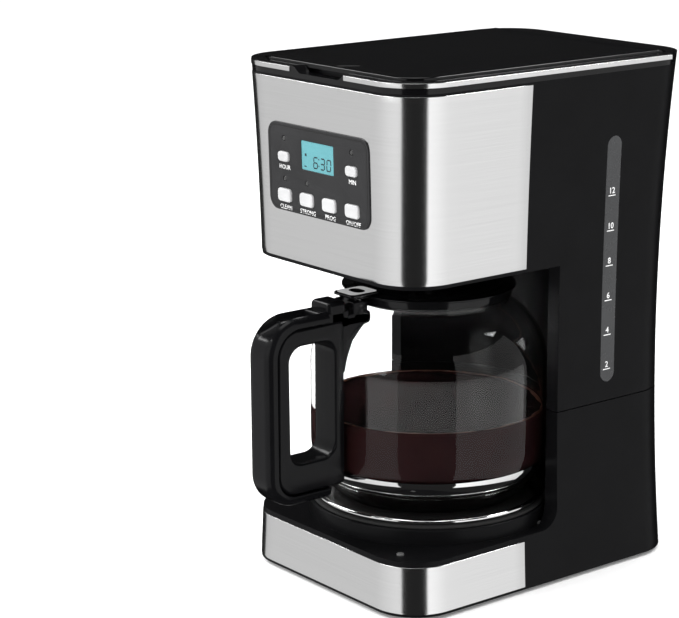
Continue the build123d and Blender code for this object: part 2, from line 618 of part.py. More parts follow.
def heater_block():
    """The cast heater: a water tube beside a heating tube, bent to a horseshoe."""
    z = PLATE_TOP_Z - PLATE_T - HEATER_TUBE_R
    middle = HEATER_R - HEATER_TUBE_PITCH / 2
    profile = Pos(HEATER_R, z) * Circle(HEATER_TUBE_R)
    profile += Pos(HEATER_R - HEATER_TUBE_PITCH, z) * Circle(HEATER_TUBE_R)
    profile += Pos(middle, z) * Rectangle(HEATER_TUBE_PITCH, 2 * HEATER_TUBE_R)
    profile -= Pos(HEATER_R, z) * Circle(HEATER_BORE_R)
    shoe = revolve(Plane.XZ * profile, Axis.Z, HEATER_ARC)
    return Pos(0, AXIS_Y, 0) * Rot(0, 0, HEATER_TURN) * shoe


def heater_bracket():
    """The bar that clamps the heater up against the plate."""
    z = heater_floor()
    across, along = BRACKET_HALF
    bar = block((-across, across), (AXIS_Y - along, AXIS_Y + along), (z - BRACKET_T, z))
    return bar - disc(2.2, (z - 2 * BRACKET_T, z + BRACKET_T))


def heater_floor():
    """The height of the heater's underside."""
    return PLATE_TOP_Z - PLATE_T - 2 * HEATER_TUBE_R


def thermostat():
    """The disc thermostat that senses the heater."""
    high = PLATE_TOP_Z - PLATE_T - 1
    low = high - 10
    can = disc(THERMOSTAT_R, (low, high), THERMOSTAT_Y)
    lugs = block((-11, 11), (THERMOSTAT_Y - 3, THERMOSTAT_Y + 3), (low - 2, low))
    return can + lugs


def thermal_fuses():
    """Two thermal fuses in sleeves, clipped beside the heater."""
    pair = Part()
    for y in FUSE_Y:
        pair += rod(FUSE_R, (-FUSE_HALF, FUSE_HALF), y, heater_floor() - FUSE_DROP)
    return pair


def inlet_hose():
    """The cold hose from the tank's outlet down to the check valve."""
    points = [(INLET_X, INLET_Y, TANK_Z[0]), (INLET_X, INLET_Y, HOSE_Z), (INLET_X, INLET_END_Y, HOSE_Z)]
    return hose(points, INLET_BEND_R, HOSE_R, HOSE_BORE_R)


def pipe_y(radius, y):
    """A level cylinder along Y at the check valve, between two places."""
    return Pos(INLET_X, (y[0] + y[1]) / 2, HOSE_Z) * Rot(90, 0, 0) * Cylinder(radius, y[1] - y[0])


def check_valve():
    """The non-return valve between the cold hose and the heater."""
    body = pipe_y(VALVE_BODY_R, VALVE_BODY_Y) + pipe_y(VALVE_SPIGOT_R, VALVE_SPIGOT_Y)
    return body - pipe_y(VALVE_BORE_R, (VALVE_SPIGOT_Y[0] - 1, VALVE_BODY_Y[1] + 1))


def riser_hose():
    """The hot hose from the heater up the column to the deck."""
    x, y = RISER_START
    points = [(x, y, HOSE_Z), (x, RISER_KNEE_Y, HOSE_Z), (RISER_X, RISER_Y, HOSE_Z)]
    points.append((RISER_X, RISER_Y, DECK_Z[0] - 1))
    return hose(points, RISER_BENDS, RISER_R, RISER_R - 2)


def riser_nozzle():
    """The spout on the deck that hands the hot water to the lid."""
    foot = disc(RISER_R, (DECK_Z[0] - 1, DECK_Z[1]), RISER_Y, RISER_X)
    spout = disc(RISER_R - 1, (DECK_Z[1], DECK_Z[1] + NOZZLE_H), RISER_Y, RISER_X)
    bore = disc(NOZZLE_BORE_R, (DECK_Z[0] - 2, DECK_Z[1] + NOZZLE_H + 1), RISER_Y, RISER_X)
    return foot + spout - bore


def power_board():
    """The supply board in the base, with its relay and transformer."""
    board = block(BOARD_X, BOARD_Y, BOARD_Z)
    board += block(TRANSFORMER_X, TRANSFORMER_Y, (BOARD_Z[1], TRANSFORMER_TOP_Z))
    return board + block(RELAY_X, RELAY_Y, (BOARD_Z[1], RELAY_TOP_Z))


# ---------------------------------------------------------------- control panel
def control_fascia():
    """The dark fascia with openings for the keys, lamps and display."""
    low = PANEL_PROUD - PANEL_T
    plate = panel_block(0, 0, PANEL_W, PANEL_H, PANEL_R, (low, PANEL_PROUD))
    for x, dy, width, height in KEYS.values():
        size = (width + 2 * KEY_GAP, height + 2 * KEY_GAP)
        plate -= panel_block(x, dy, *size, KEY_CORNER_R + KEY_GAP, (low - 1, PANEL_PROUD + 1))
    for x, dy in LAMPS:
        plate -= on_panel(x, dy, 0) * Cylinder(LAMP_R + SKIN_GAP, 4 * PANEL_T)
    window = (DISPLAY_W + 2 * WINDOW_GAP, DISPLAY_H + 2 * WINDOW_GAP, DISPLAY_R + WINDOW_GAP)
    return plate - panel_block(0, DISPLAY_DY, *window, (low - 1, PANEL_PROUD + 1))


def display_window():
    """The clear window over the clock."""
    return panel_block(0, DISPLAY_DY, DISPLAY_W, DISPLAY_H, DISPLAY_R, WINDOW_DEPTH)


def display_module():
    """The clock's liquid-crystal cell behind its window."""
    size = (DISPLAY_W + CELL_MARGIN[0], DISPLAY_H + CELL_MARGIN[1], 0.8)
    return panel_block(0, DISPLAY_DY, *size, CELL_DEPTH)


def indicator_lamps():
    """Four small lamps in the fascia."""
    lamps = Part()
    for x, dy in LAMPS:
        lamps += on_panel(x, dy, -1.4) * Cylinder(LAMP_R, LAMP_LENGTH)
    return lamps


def key(x, dy, width, height):
    """One push key: a rounded cap with a wider foot behind the fascia."""
    low = PANEL_PROUD - PANEL_T
    cap = panel_block(x, dy, width, height, KEY_CORNER_R, (low, PANEL_PROUD + KEY_PROUD))
    cap = fillet(cap.faces().sort_by(Axis.Y)[0].edges(), KEY_EDGE_R)
    wide, tall = width + 2 * KEY_FOOT_LIP, height + 2 * KEY_FOOT_LIP
    depth = (low + KEY_FOOT_DEPTH[0], low + KEY_FOOT_DEPTH[1])
    foot = panel_block(x, dy, wide, tall, KEY_CORNER_R + KEY_GAP, depth)
    neck = panel_block(x, dy, width - 1, height - 1, KEY_CORNER_R - 0.4, (depth[0] + 0.4, low + 1))
    return cap + foot + neck


def control_board():
    """The board behind the panel that carries the switches and lamps."""
    size = (PANEL_W - CONTROL_BOARD_MARGIN[0], PANEL_H - CONTROL_BOARD_MARGIN[1], 2.0)
    return panel_block(0, 0, *size, CONTROL_BOARD_DEPTH)


# ---------------------------------------------------------------- carafe
def barrel_arc(centre_r, centre_z, radius, start, end, steps=14):
    """Points on an arc of the glass outline, by angle above the horizontal."""
    points = []
    for step in range(steps + 1):
        angle = math.radians(start + (end - start) * step / steps)
        points.append((centre_r + radius * math.cos(angle), centre_z + radius * math.sin(angle)))
    return points


def glass_wall(offset, low_z, high_z):
    """The glass outline as edges, moved inwards by an offset."""
    heel = HEEL_R - offset
    shoulder = SHOULDER_R - offset
    heel_centre = GLASS_R - HEEL_R
    shoulder_centre = GLASS_R - SHOULDER_R
    start = -math.degrees(math.asin((HEEL_Z - low_z) / heel))
    neck = NECK_R - offset
    end = math.degrees(math.acos((neck - shoulder_centre) / shoulder))
    points = barrel_arc(heel_centre, HEEL_Z, heel, start, 0)
    points += barrel_arc(shoulder_centre, SHOULDER_Z, shoulder, 0, end)
    return points + [(neck, high_z)]


def glass_outer(offset):
    """The closed outer form of the glass as a solid, offset outwards if negative."""
    points = glass_wall(offset, GLASS_FOOT_Z + max(offset, 0), NECK_TOP_Z + 2)
    points = [(0, points[0][1])] + points + [(0, NECK_TOP_Z + 2)]
    return revolved(points)


def neck_start_z(gap):
    """The height where the shoulder, a gap outside the glass, turns into the straight neck."""
    across = NECK_R + gap - (GLASS_R - SHOULDER_R)
    return SHOULDER_Z + math.sqrt((SHOULDER_R + gap) ** 2 - across ** 2)


def carafe_glass():
    """The glass jug: curved foot, straight barrel, round shoulder and short neck."""
    jug = glass_outer(0) - glass_outer(GLASS_T)
    return jug & slab((0, NECK_TOP_Z))


def carafe_foot_band():
    """The polished band round the foot of the glass."""
    skin = glass_outer(-FOOT_BAND_T) - glass_outer(0)
    return skin & slab(FOOT_BAND_Z)


def carafe_collar():
    """The black ring clamped round the neck."""
    inner = NECK_R + COLLAR_GAP
    collar = ring(inner + COLLAR_T, inner, COLLAR_Z)
    if neck_start_z(COLLAR_GAP) > COLLAR_Z[0]:
        collar -= glass_outer(-COLLAR_GAP)
    return collar


def handle_outline(inset):
    """The side view of the handle's outer form."""
    front, back = HANDLE_FRONT_Y + inset, HANDLE_BACK_Y
    low, high = HANDLE_BOTTOM_Z + inset, HANDLE_TOP_Z - inset
    outline = Pos((front + back) / 2, (low + high) / 2) * Rectangle(back - front, high - low)
    top = outline.vertices().sort_by_distance((front, high, 0))[0]
    outline = fillet(top, HANDLE_TOP_R - inset)
    bottom = outline.vertices().sort_by_distance((front, low, 0))[0]
    return fillet(bottom, HANDLE_BOTTOM_R - inset)


def side_prism(outline, half):
    """A side view given its width, evenly about the middle."""
    return extrude(Plane.YZ * outline, amount=half, both=True)


def handle_shell():
    """The outer C of the handle, with the thumb recess in its top."""
    shell = side_prism(handle_outline(0), HANDLE_HALF)
    rims = shell.edges().group_by(Axis.X)
    shell = fillet(rims[0] + rims[-1], HANDLE_EDGE_R)
    shell -= side_prism(handle_outline(SHELL_T), HANDLE_HALF + 1)
    shell &= block((-FAR, FAR), (-FAR, HANDLE_SEAM_Y), (0, FAR))
    recess = Pos(0, THUMB_RECESS_Y) * Rot(0, 0, 90) * SlotOverall(*THUMB_RECESS)
    return shell - prism(recess, (HANDLE_TOP_Z - SHELL_T - 1, FAR))


def handle_frame():
    """The inner loop of the handle, its leg along the glass and its neck bracket."""
    grip = Pos(sum(GRIP_Y) / 2, sum(GRIP_Z) / 2) * RectangleRounded(
        GRIP_Y[1] - GRIP_Y[0], GRIP_Z[1] - GRIP_Z[0], GRIP_R
    )
    across = (-FRAME_HALF, FRAME_HALF)
    frame = side_prism(handle_outline(SHELL_T) - grip, FRAME_HALF)
    frame += block(across, (HANDLE_SEAM_Y, HANDLE_BACK_Y), (HANDLE_TOP_Z - SHELL_T, HANDLE_TOP_Z - 1))
    frame += block(across, HUMP_Y, HUMP_Z)
    frame += block(across, NECK_BLOCK_Y, NECK_BLOCK_Z)
    for side in (-1, 1):
        ear = sorted((side * FRAME_HALF, side * (FRAME_HALF - EAR_T)))
        frame += block(ear, (CARAFE_PIN_Y - EAR_HALF, CARAFE_PIN_Y + EAR_HALF), EAR_Z)
    reach = KNUCKLE_HALF + KNUCKLE_GAP
    frame -= rod(KNUCKLE_R + KNUCKLE_GAP, (-reach, reach), CARAFE_PIN_Y, CARAFE_PIN_Z)
    frame -= glass_outer(-0.4)
    frame -= disc(NECK_R + COLLAR_GAP + COLLAR_T + SKIN_GAP, (NECK_BLOCK_Z[0] - 8, HANDLE_TOP_Z + 20))
    return frame - rod(CARAFE_PIN_R, (-FAR, FAR), CARAFE_PIN_Y, CARAFE_PIN_Z)


def carafe_lid():
    """The jug's lid: a flange with a low dome over a plug in the neck."""
    low, high = LID_FLANGE_Z
    solid = revolved([
        (0, low - 1.5), (LID_PLUG_R - LID_PLUG_T, low - 1.5),
        (LID_PLUG_R - LID_PLUG_T, NECK_TOP_Z - LID_PLUG_DEPTH), (LID_PLUG_R, NECK_TOP_Z - LID_PLUG_DEPTH),
        (LID_PLUG_R, low), (LID_FLANGE_R, low),
        (LID_FLANGE_R, high - 0.6), (LID_FLANGE_R - 6, high),
        (20, high + LID_DOME - 0.4), (9, high + LID_DOME), (0, high + LID_DOME),
    ])
    tab = block((-LID_TAB_HALF, LID_TAB_HALF), (LEVER_Y[0] + 4, AXIS_Y - NECK_R + 8), (low, high))
    tab -= lever_web(SKIN_GAP, FAR)
    solid += tab - disc(LID_FLANGE_R - 1, (0, FAR))
    return solid - disc(LID_HOLE_R, (0, FAR))


def lever_web(gap, top):
    """The web that joins the thumb plate to its knuckle through the lid's tab."""
    half = LEVER_WEB_HALF + gap
    near, far = CARAFE_PIN_Y + LEVER_WEB_Y[0] - gap, CARAFE_PIN_Y + LEVER_WEB_Y[1] + gap
    return block((-half, half), (near, far), (CARAFE_PIN_Z, top))


def thumb_lever():
    """The thumb plate on the lid's front, with the knuckle that the pin goes through."""
    z = LID_FLANGE_Z[1]
    plate = block((-LEVER_HALF, LEVER_HALF), LEVER_Y, (z, z + LEVER_T))
    plate = fillet(plate.edges().filter_by(Axis.Z), LEVER_CORNER_R)
    plate -= disc(LID_FLANGE_R + 0.2, (0, FAR)) & slab((0, z + 0.45))
    knuckle = rod(KNUCKLE_R, (-KNUCKLE_HALF, KNUCKLE_HALF), CARAFE_PIN_Y, CARAFE_PIN_Z)
    bore = rod(CARAFE_PIN_R + PIN_GAP, (-FAR, FAR), CARAFE_PIN_Y, CARAFE_PIN_Z)
    return plate + knuckle + lever_web(0, z) - bore


def carafe_lid_pin():
    """The steel pin that the carafe's lid tips on."""
    return rod(CARAFE_PIN_R, (-FRAME_HALF, FRAME_HALF), CARAFE_PIN_Y, CARAFE_PIN_Z)


NODES = {
    "upper_housing": upper_housing,
    "lower_housing": lower_housing,
    "base_cover": base_cover,
    "upper_steel_band": lambda: steel_band(UPPER_BAND_Z) - panel_opening(PANEL_GAP),
    "base_steel_band": lambda: steel_band(BASE_BAND_Z),
    "rubber_feet": rubber_feet,
    "case_screws": case_screws,
    "cord_gland": cord_gland,
    "top_rim": top_rim,
    "trim_strip": trim_strip,
    "lid": lid,
    "lid_liner": lid_liner,
    "shower_head": shower_head,
    "lid_hinge_pins": hinge_pins,
    "top_deck": top_deck,
    "water_tank": water_tank,
    "gauge_window": gauge_window,
    "tank_strainer": tank_strainer,
    "brew_chamber": brew_chamber,
    "filter_basket": filter_basket,
    "mesh_filter": mesh_filter,
    "drip_stop_plunger": drip_stop_plunger,
    "drip_stop_seal": drip_stop_seal,
    "drip_stop_spring": drip_stop_spring,
    "warming_plate": warming_plate,
    "plate_seal": plate_seal,
    "heater_block": heater_block,
    "heater_bracket": heater_bracket,
    "thermostat": thermostat,
    "thermal_fuses": thermal_fuses,
    "inlet_hose": inlet_hose,
    "check_valve": check_valve,
    "riser_hose": riser_hose,
    "riser_nozzle": riser_nozzle,
    "power_board": power_board,
    "control_fascia": control_fascia,
    "display_window": display_window,
    "display_module": display_module,
    "indicator_lamps": indicator_lamps,
    "control_board": control_board,
    "carafe_glass": carafe_glass,
    "carafe_foot_band": carafe_foot_band,
    "carafe_collar": carafe_collar,
    "handle_shell": handle_shell,
    "handle_frame": handle_frame,
    "carafe_lid": carafe_lid,
    "thumb_lever": thumb_lever,
    "carafe_lid_pin": carafe_lid_pin,
}

os.makedirs("parts", exist_ok=True)
for name, make in NODES.items():
    export_step(make(), f"parts/{name}.step")
for name, place in KEYS.items():
    export_step(key(*place), f"parts/{name}.step")
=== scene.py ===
"""The looks of a drip coffee maker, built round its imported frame.

Sizes are millimetres in the frame's own axes: +Z up, the front towards -Y, the water gauge on +X.
"""

from __future__ import annotations

import json
import logging
import math
from dataclasses import dataclass
from enum import Enum
from typing import Callable, ClassVar, Sequence

import bmesh
import bpy
import numpy as np
from mathutils import Matrix, Vector

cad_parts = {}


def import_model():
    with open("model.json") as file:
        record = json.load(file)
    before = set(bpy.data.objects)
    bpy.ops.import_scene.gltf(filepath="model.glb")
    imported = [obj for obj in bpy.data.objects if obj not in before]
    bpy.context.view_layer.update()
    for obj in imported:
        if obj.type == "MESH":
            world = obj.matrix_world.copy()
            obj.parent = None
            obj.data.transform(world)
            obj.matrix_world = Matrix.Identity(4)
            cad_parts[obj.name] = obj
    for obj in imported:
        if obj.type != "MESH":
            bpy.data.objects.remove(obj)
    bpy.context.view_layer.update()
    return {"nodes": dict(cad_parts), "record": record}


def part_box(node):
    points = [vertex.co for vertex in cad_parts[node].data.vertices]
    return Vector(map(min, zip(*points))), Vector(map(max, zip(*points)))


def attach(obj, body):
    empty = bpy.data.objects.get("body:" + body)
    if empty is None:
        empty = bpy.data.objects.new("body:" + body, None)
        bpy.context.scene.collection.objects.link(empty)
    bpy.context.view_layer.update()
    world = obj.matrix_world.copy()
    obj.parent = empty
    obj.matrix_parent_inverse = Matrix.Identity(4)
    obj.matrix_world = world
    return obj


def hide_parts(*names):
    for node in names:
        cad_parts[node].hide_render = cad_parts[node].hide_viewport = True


LOG = logging.getLogger("coffee_maker")
MM = 0.001
WELD = 1e-6                     # points closer than this, in metres, become one
SHARP = 35.0                    # edges that bend more than this, in degrees, stay sharp
AXIS_Y = -7.5                   # the upright axis of the carafe, the warming plate and the bay
SIDE_POINTS, CORNER_POINTS, FACE_POINTS = 8, 15, 8
NOISE_RANGE = (0.3, 0.7)        # where most of a noise's values lie


def linked(data: bpy.types.ID, name: str) -> bpy.types.Object:
    """Makes an object of some data and puts it in the scene.

    Args:
        data: the mesh, curve, light or camera.
        name: the object's name.

    Returns:
        The object, at the origin.
    """
    piece = bpy.data.objects.new(name, data)
    bpy.context.scene.collection.objects.link(piece)
    return piece


def smooth(piece: bpy.types.Object, angle: float = SHARP) -> bpy.types.Object:
    """Shades a piece smoothly between its sharp edges.

    Args:
        piece: the object.
        angle: the bend in degrees above which an edge stays sharp.

    Returns:
        The same object.
    """
    piece.data.shade_smooth()
    piece.data.set_sharp_from_angle(angle=math.radians(angle))
    return piece


# ------------------------------------------------------------------ surfaces
class Surface:
    """Grids and caps that are welded into one mesh."""

    def __init__(self) -> None:
        """Starts with no points and no faces."""
        self.points: list[np.ndarray] = []
        self.faces: list[list[int]] = []
        self.count = 0

    def grid(self, points: np.ndarray, close_rows: bool = False, close_cols: bool = False,
             keep: np.ndarray | None = None) -> "Surface":
        """Adds a grid of quads: each face joins a point to its neighbours along both parameters.

        Args:
            points: rows x columns x 3 places, in millimetres.
            close_rows: whether the last row joins the first.
            close_cols: whether the last column joins the first.
            keep: a mask over the faces, to leave an opening.

        Returns:
            This surface.
        """
        rows, cols = points.shape[:2]
        index = np.arange(rows * cols).reshape(rows, cols) + self.count
        if close_rows:
            index = np.vstack([index, index[:1]])
        if close_cols:
            index = np.hstack([index, index[:, :1]])
        quads = np.stack([index[:-1, :-1], index[:-1, 1:], index[1:, 1:], index[1:, :-1]], axis=-1)
        quads = quads.reshape(-1, 4) if keep is None else quads[keep]
        self.points.append(points.reshape(-1, 3))
        self.faces.extend(quads.tolist())
        self.count += rows * cols
        return self

    def cap(self, ring: np.ndarray) -> "Surface":
        """Closes a ring of points with one flat face.

        Args:
            ring: the points in order.

        Returns:
            This surface.
        """
        self.points.append(ring)
        self.faces.append(list(range(self.count, self.count + len(ring))))
        self.count += len(ring)
        return self

    def add(self, other: "Surface") -> "Surface":
        """Takes over another surface's points and faces.

        Args:
            other: the surface to add.

        Returns:
            This surface.
        """
        self.points.extend(other.points)
        self.faces.extend([index + self.count for index in face] for face in other.faces)
        self.count += other.count
        return self

    def build(self, name: str, sharp: float = SHARP) -> bpy.types.Object:
        """Welds the points, turns every face outwards and makes the object.

        Args:
            name: the piece's name.
            sharp: the angle in degrees above which an edge stays sharp.

        Returns:
            The new object, at the origin.
        """
        mesh = bpy.data.meshes.new(name)
        mesh.from_pydata((np.vstack(self.points) * MM).tolist(), [], self.faces)
        work = bmesh.new()
        work.from_mesh(mesh)
        bmesh.ops.remove_doubles(work, verts=work.verts, dist=WELD)
        bmesh.ops.dissolve_degenerate(work, dist=WELD, edges=work.edges)
        bmesh.ops.recalc_face_normals(work, faces=work.faces)
        middle = sum((v.co for v in work.verts), Vector()) / len(work.verts)
        flux = sum((f.calc_center_median() - middle).dot(f.normal) * f.calc_area() for f in work.faces)
        if flux < 0:
            bmesh.ops.reverse_faces(work, faces=work.faces)
        work.to_mesh(mesh)
        work.free()
        return smooth(linked(mesh, name), sharp)


def polar(angle: np.ndarray, radius: float) -> np.ndarray:
    """Points on a circle: radius times the cosine and sine of each angle in degrees."""
    turn = np.radians(angle)
    return np.stack([radius * np.cos(turn), radius * np.sin(turn)], axis=-1)


def rounded_outline(width: float, height: float, radii: Sequence[float], steps: int = 7) -> np.ndarray:
    """A rectangle with quarter-circle corners, as arcs about its four corner centres.

    Args:
        width: the size across.
        height: the size upwards.
        radii: the four corner radii, from the upper right, anticlockwise.
        steps: the points on each corner.

    Returns:
        A ring of points, 4 x steps by 2.
    """
    signs = np.array([[1, 1], [-1, 1], [-1, -1], [1, -1]])
    parts = []
    for turn, (sign, radius) in enumerate(zip(signs, radii)):
        centre = sign * (np.array([width, height]) / 2 - radius)
        parts.append(centre + polar(np.linspace(0, 90, steps) + 90 * turn, radius))
    return np.vstack(parts)


def edge_profile(depth: float, edge: float, steps: int = 5, base: float = 0.3) -> list[tuple[float, float]]:
    """Inset and height along a plate's side: a small lower edge, a straight wall, a quarter-round top.

    Args:
        depth: the plate's thickness.
        edge: the radius of the upper edge.
        steps: the points on that edge.
        base: the radius of the lower edge.

    Returns:
        Pairs of inset and height, from below to above.
    """
    low = [(base * 3, 0.0), (base, 0.0), (base * 0.3, base * 0.3), (0.0, base)]
    turn = np.radians(np.linspace(0, 90, steps))
    high = [(edge * (1 - math.cos(a)), depth - edge + edge * math.sin(a)) for a in turn]
    return low + high + [(edge + 0.6, depth)]


def plate(outline: Callable[[float], np.ndarray], profile: Sequence[tuple[float, float]],
          matrix: Matrix | None = None) -> Surface:
    """A closed plate: the outline, inset by each profile step, is stacked at that step's height.

    Args:
        outline: gives the ring of plan points for an inset.
        profile: pairs of inset and height.
        matrix: where the plate's own axes go, in millimetres.

    Returns:
        The surface.
    """
    rings = []
    for inset, height in profile:
        ring = outline(inset)
        rings.append(np.column_stack([ring, np.full(len(ring), height)]))
    points = moved(np.array(rings), matrix)
    return Surface().grid(points, close_cols=True).cap(points[0]).cap(points[-1])


def moved(points: np.ndarray, matrix: Matrix | None) -> np.ndarray:
    """Points carried by a matrix: rotation times the point plus the offset.

    Args:
        points: the places, with three columns.
        matrix: where they go, or None to leave them.

    Returns:
        The new places.
    """
    if matrix is None:
        return points
    table = np.array(matrix)
    return points @ table[:3, :3].T + table[:3, 3]


def rounded_plate(width: float, height: float, radius: float, profile: Sequence[tuple[float, float]],
                  matrix: Matrix | None = None) -> Surface:
    """A plate whose outline is a rectangle with four equal round corners.

    Args:
        width: the size across.
        height: the size upwards.
        radius: the corner radius.
        profile: pairs of inset and height.
        matrix: where the plate's own axes go, in millimetres.

    Returns:
        The surface.
    """
    def outline(inset: float) -> np.ndarray:
        """The outline, moved inwards."""
        corner = max(radius - inset, 0.05)
        return rounded_outline(width - 2 * inset, height - 2 * inset, [corner] * 4)

    return plate(outline, profile, matrix)


def rounded_box(low: Sequence[float], high: Sequence[float], radius: float, steps: int = 5) -> Surface:
    """A box with round edges: a small sphere's points, each pushed out to its own corner of the box.

    Args:
        low: the lowest corner.
        high: the highest corner.
        radius: the radius of every edge.
        steps: the points on each quarter turn.

    Returns:
        The surface.
    """
    middle, half = (np.array(high) + low) / 2, (np.array(high) - low) / 2 - radius
    around = (np.linspace(0, 90, steps)[None] + 90 * np.arange(4)[:, None]).ravel()
    side = np.repeat([[1, 1], [-1, 1], [-1, -1], [1, -1]], steps, axis=0)
    tilt = np.concatenate([np.linspace(90, 0, steps), np.linspace(0, -90, steps)])
    above = np.repeat([1, -1], steps)
    flat = polar(around, 1.0)
    normal = np.empty((len(tilt), len(around), 3))
    normal[..., :2] = np.cos(np.radians(tilt))[:, None, None] * flat[None]
    normal[..., 2] = np.sin(np.radians(tilt))[:, None]
    corner = np.empty_like(normal)
    corner[..., :2] = side[None]
    corner[..., 2] = above[:, None]
    points = middle + corner * half + normal * radius
    return Surface().grid(points, close_cols=True).cap(points[0]).cap(points[-1])


def soften(corners: Sequence[Sequence[float]], radius: float | Sequence[float], closed: bool = False,
           steps: int = 5) -> np.ndarray:
    """A polyline whose corners are rounded: each becomes a parabola between two points beside it.

    Args:
        corners: the corner points, each a pair.
        radius: how far from a corner its rounding starts, for all or for each.
        closed: whether the last corner joins the first.
        steps: the points on each rounding.

    Returns:
        The points of the softened line.
    """
    at = np.array(corners, float)
    reach = np.broadcast_to(np.array(radius, float), (len(at),))
    before, after = np.roll(at, 1, axis=0) - at, np.roll(at, -1, axis=0) - at
    long_before, long_after = np.linalg.norm(before, axis=1), np.linalg.norm(after, axis=1)
    cut = np.minimum(reach, 0.45 * np.minimum(long_before, long_after))[:, None]
    start, end = at + before / long_before[:, None] * cut, at + after / long_after[:, None] * cut
    t = np.linspace(0, 1, steps)[None, :, None]
    line = (1 - t) ** 2 * start[:, None] + 2 * t * (1 - t) * at[:, None] + t ** 2 * end[:, None]
    if closed:
        return line.reshape(-1, 2)
    return np.vstack([at[:1], line[1:-1].reshape(-1, 2), at[-1:]])


def lathe(profile: np.ndarray, axis_y: float, closed: bool = False, turns: int = 96,
          axis_x: float = 0.0, matrix: Matrix | None = None) -> Surface:
    """A turned form: each radius and height of the profile is carried round an upright axis.

    Args:
        profile: rows of radius and height.
        axis_y: the axis' place along Y.
        closed: whether the profile is a closed loop.
        turns: the steps round the axis.
        axis_x: the axis' place along X.
        matrix: where the turned form then goes.

    Returns:
        The surface.
    """
    angle = np.linspace(0, 2 * np.pi, turns, endpoint=False)
    radius, height = profile[:, :1], profile[:, 1:]
    points = np.empty((len(profile), turns, 3))
    points[..., 0] = axis_x + radius * np.cos(angle)
    points[..., 1] = axis_y + radius * np.sin(angle)
    points[..., 2] = height
    return Surface().grid(moved(points, matrix), close_rows=closed, close_cols=True)


def arc(centre: Sequence[float], radius: float, start: float, end: float, steps: int = 14) -> np.ndarray:
    """Points on an arc: the centre plus the radius at angles in degrees, evenly spaced."""
    return np.array(centre) + polar(np.linspace(start, end, steps), radius)


def solidify(piece: bpy.types.Object, wall: float, even: bool = True) -> None:
    """Gives an open surface a wall, inwards from its face.

    Args:
        piece: the object.
        wall: the wall's thickness.
        even: whether the thickness is kept at corners too.
    """
    change = piece.modifiers.new("wall", "SOLIDIFY")
    change.thickness = wall * MM
    change.offset = -1.0
    change.use_even_offset = even


def bevel(piece: bpy.types.Object, width: float, segments: int = 3, angle: float = 32.0) -> None:
    """Rounds a piece's sharp edges.

    Args:
        piece: the object.
        width: how far from the edge the rounding starts.
        segments: the strips in each rounding.
        angle: the bend in degrees above which an edge is rounded.
    """
    change = piece.modifiers.new("edge", "BEVEL")
    change.width = width * MM
    change.segments = segments
    change.limit_method = "ANGLE"
    change.angle_limit = math.radians(angle)
    change.harden_normals = False
    change.miter_outer = "MITER_ARC"


# ------------------------------------------------------------------ finishes
class Grain(Enum):
    """Which way a fine pattern runs."""

    NONE = (1.0, 1.0, 1.0)
    LEVEL = (0.004, 0.004, 1.0)


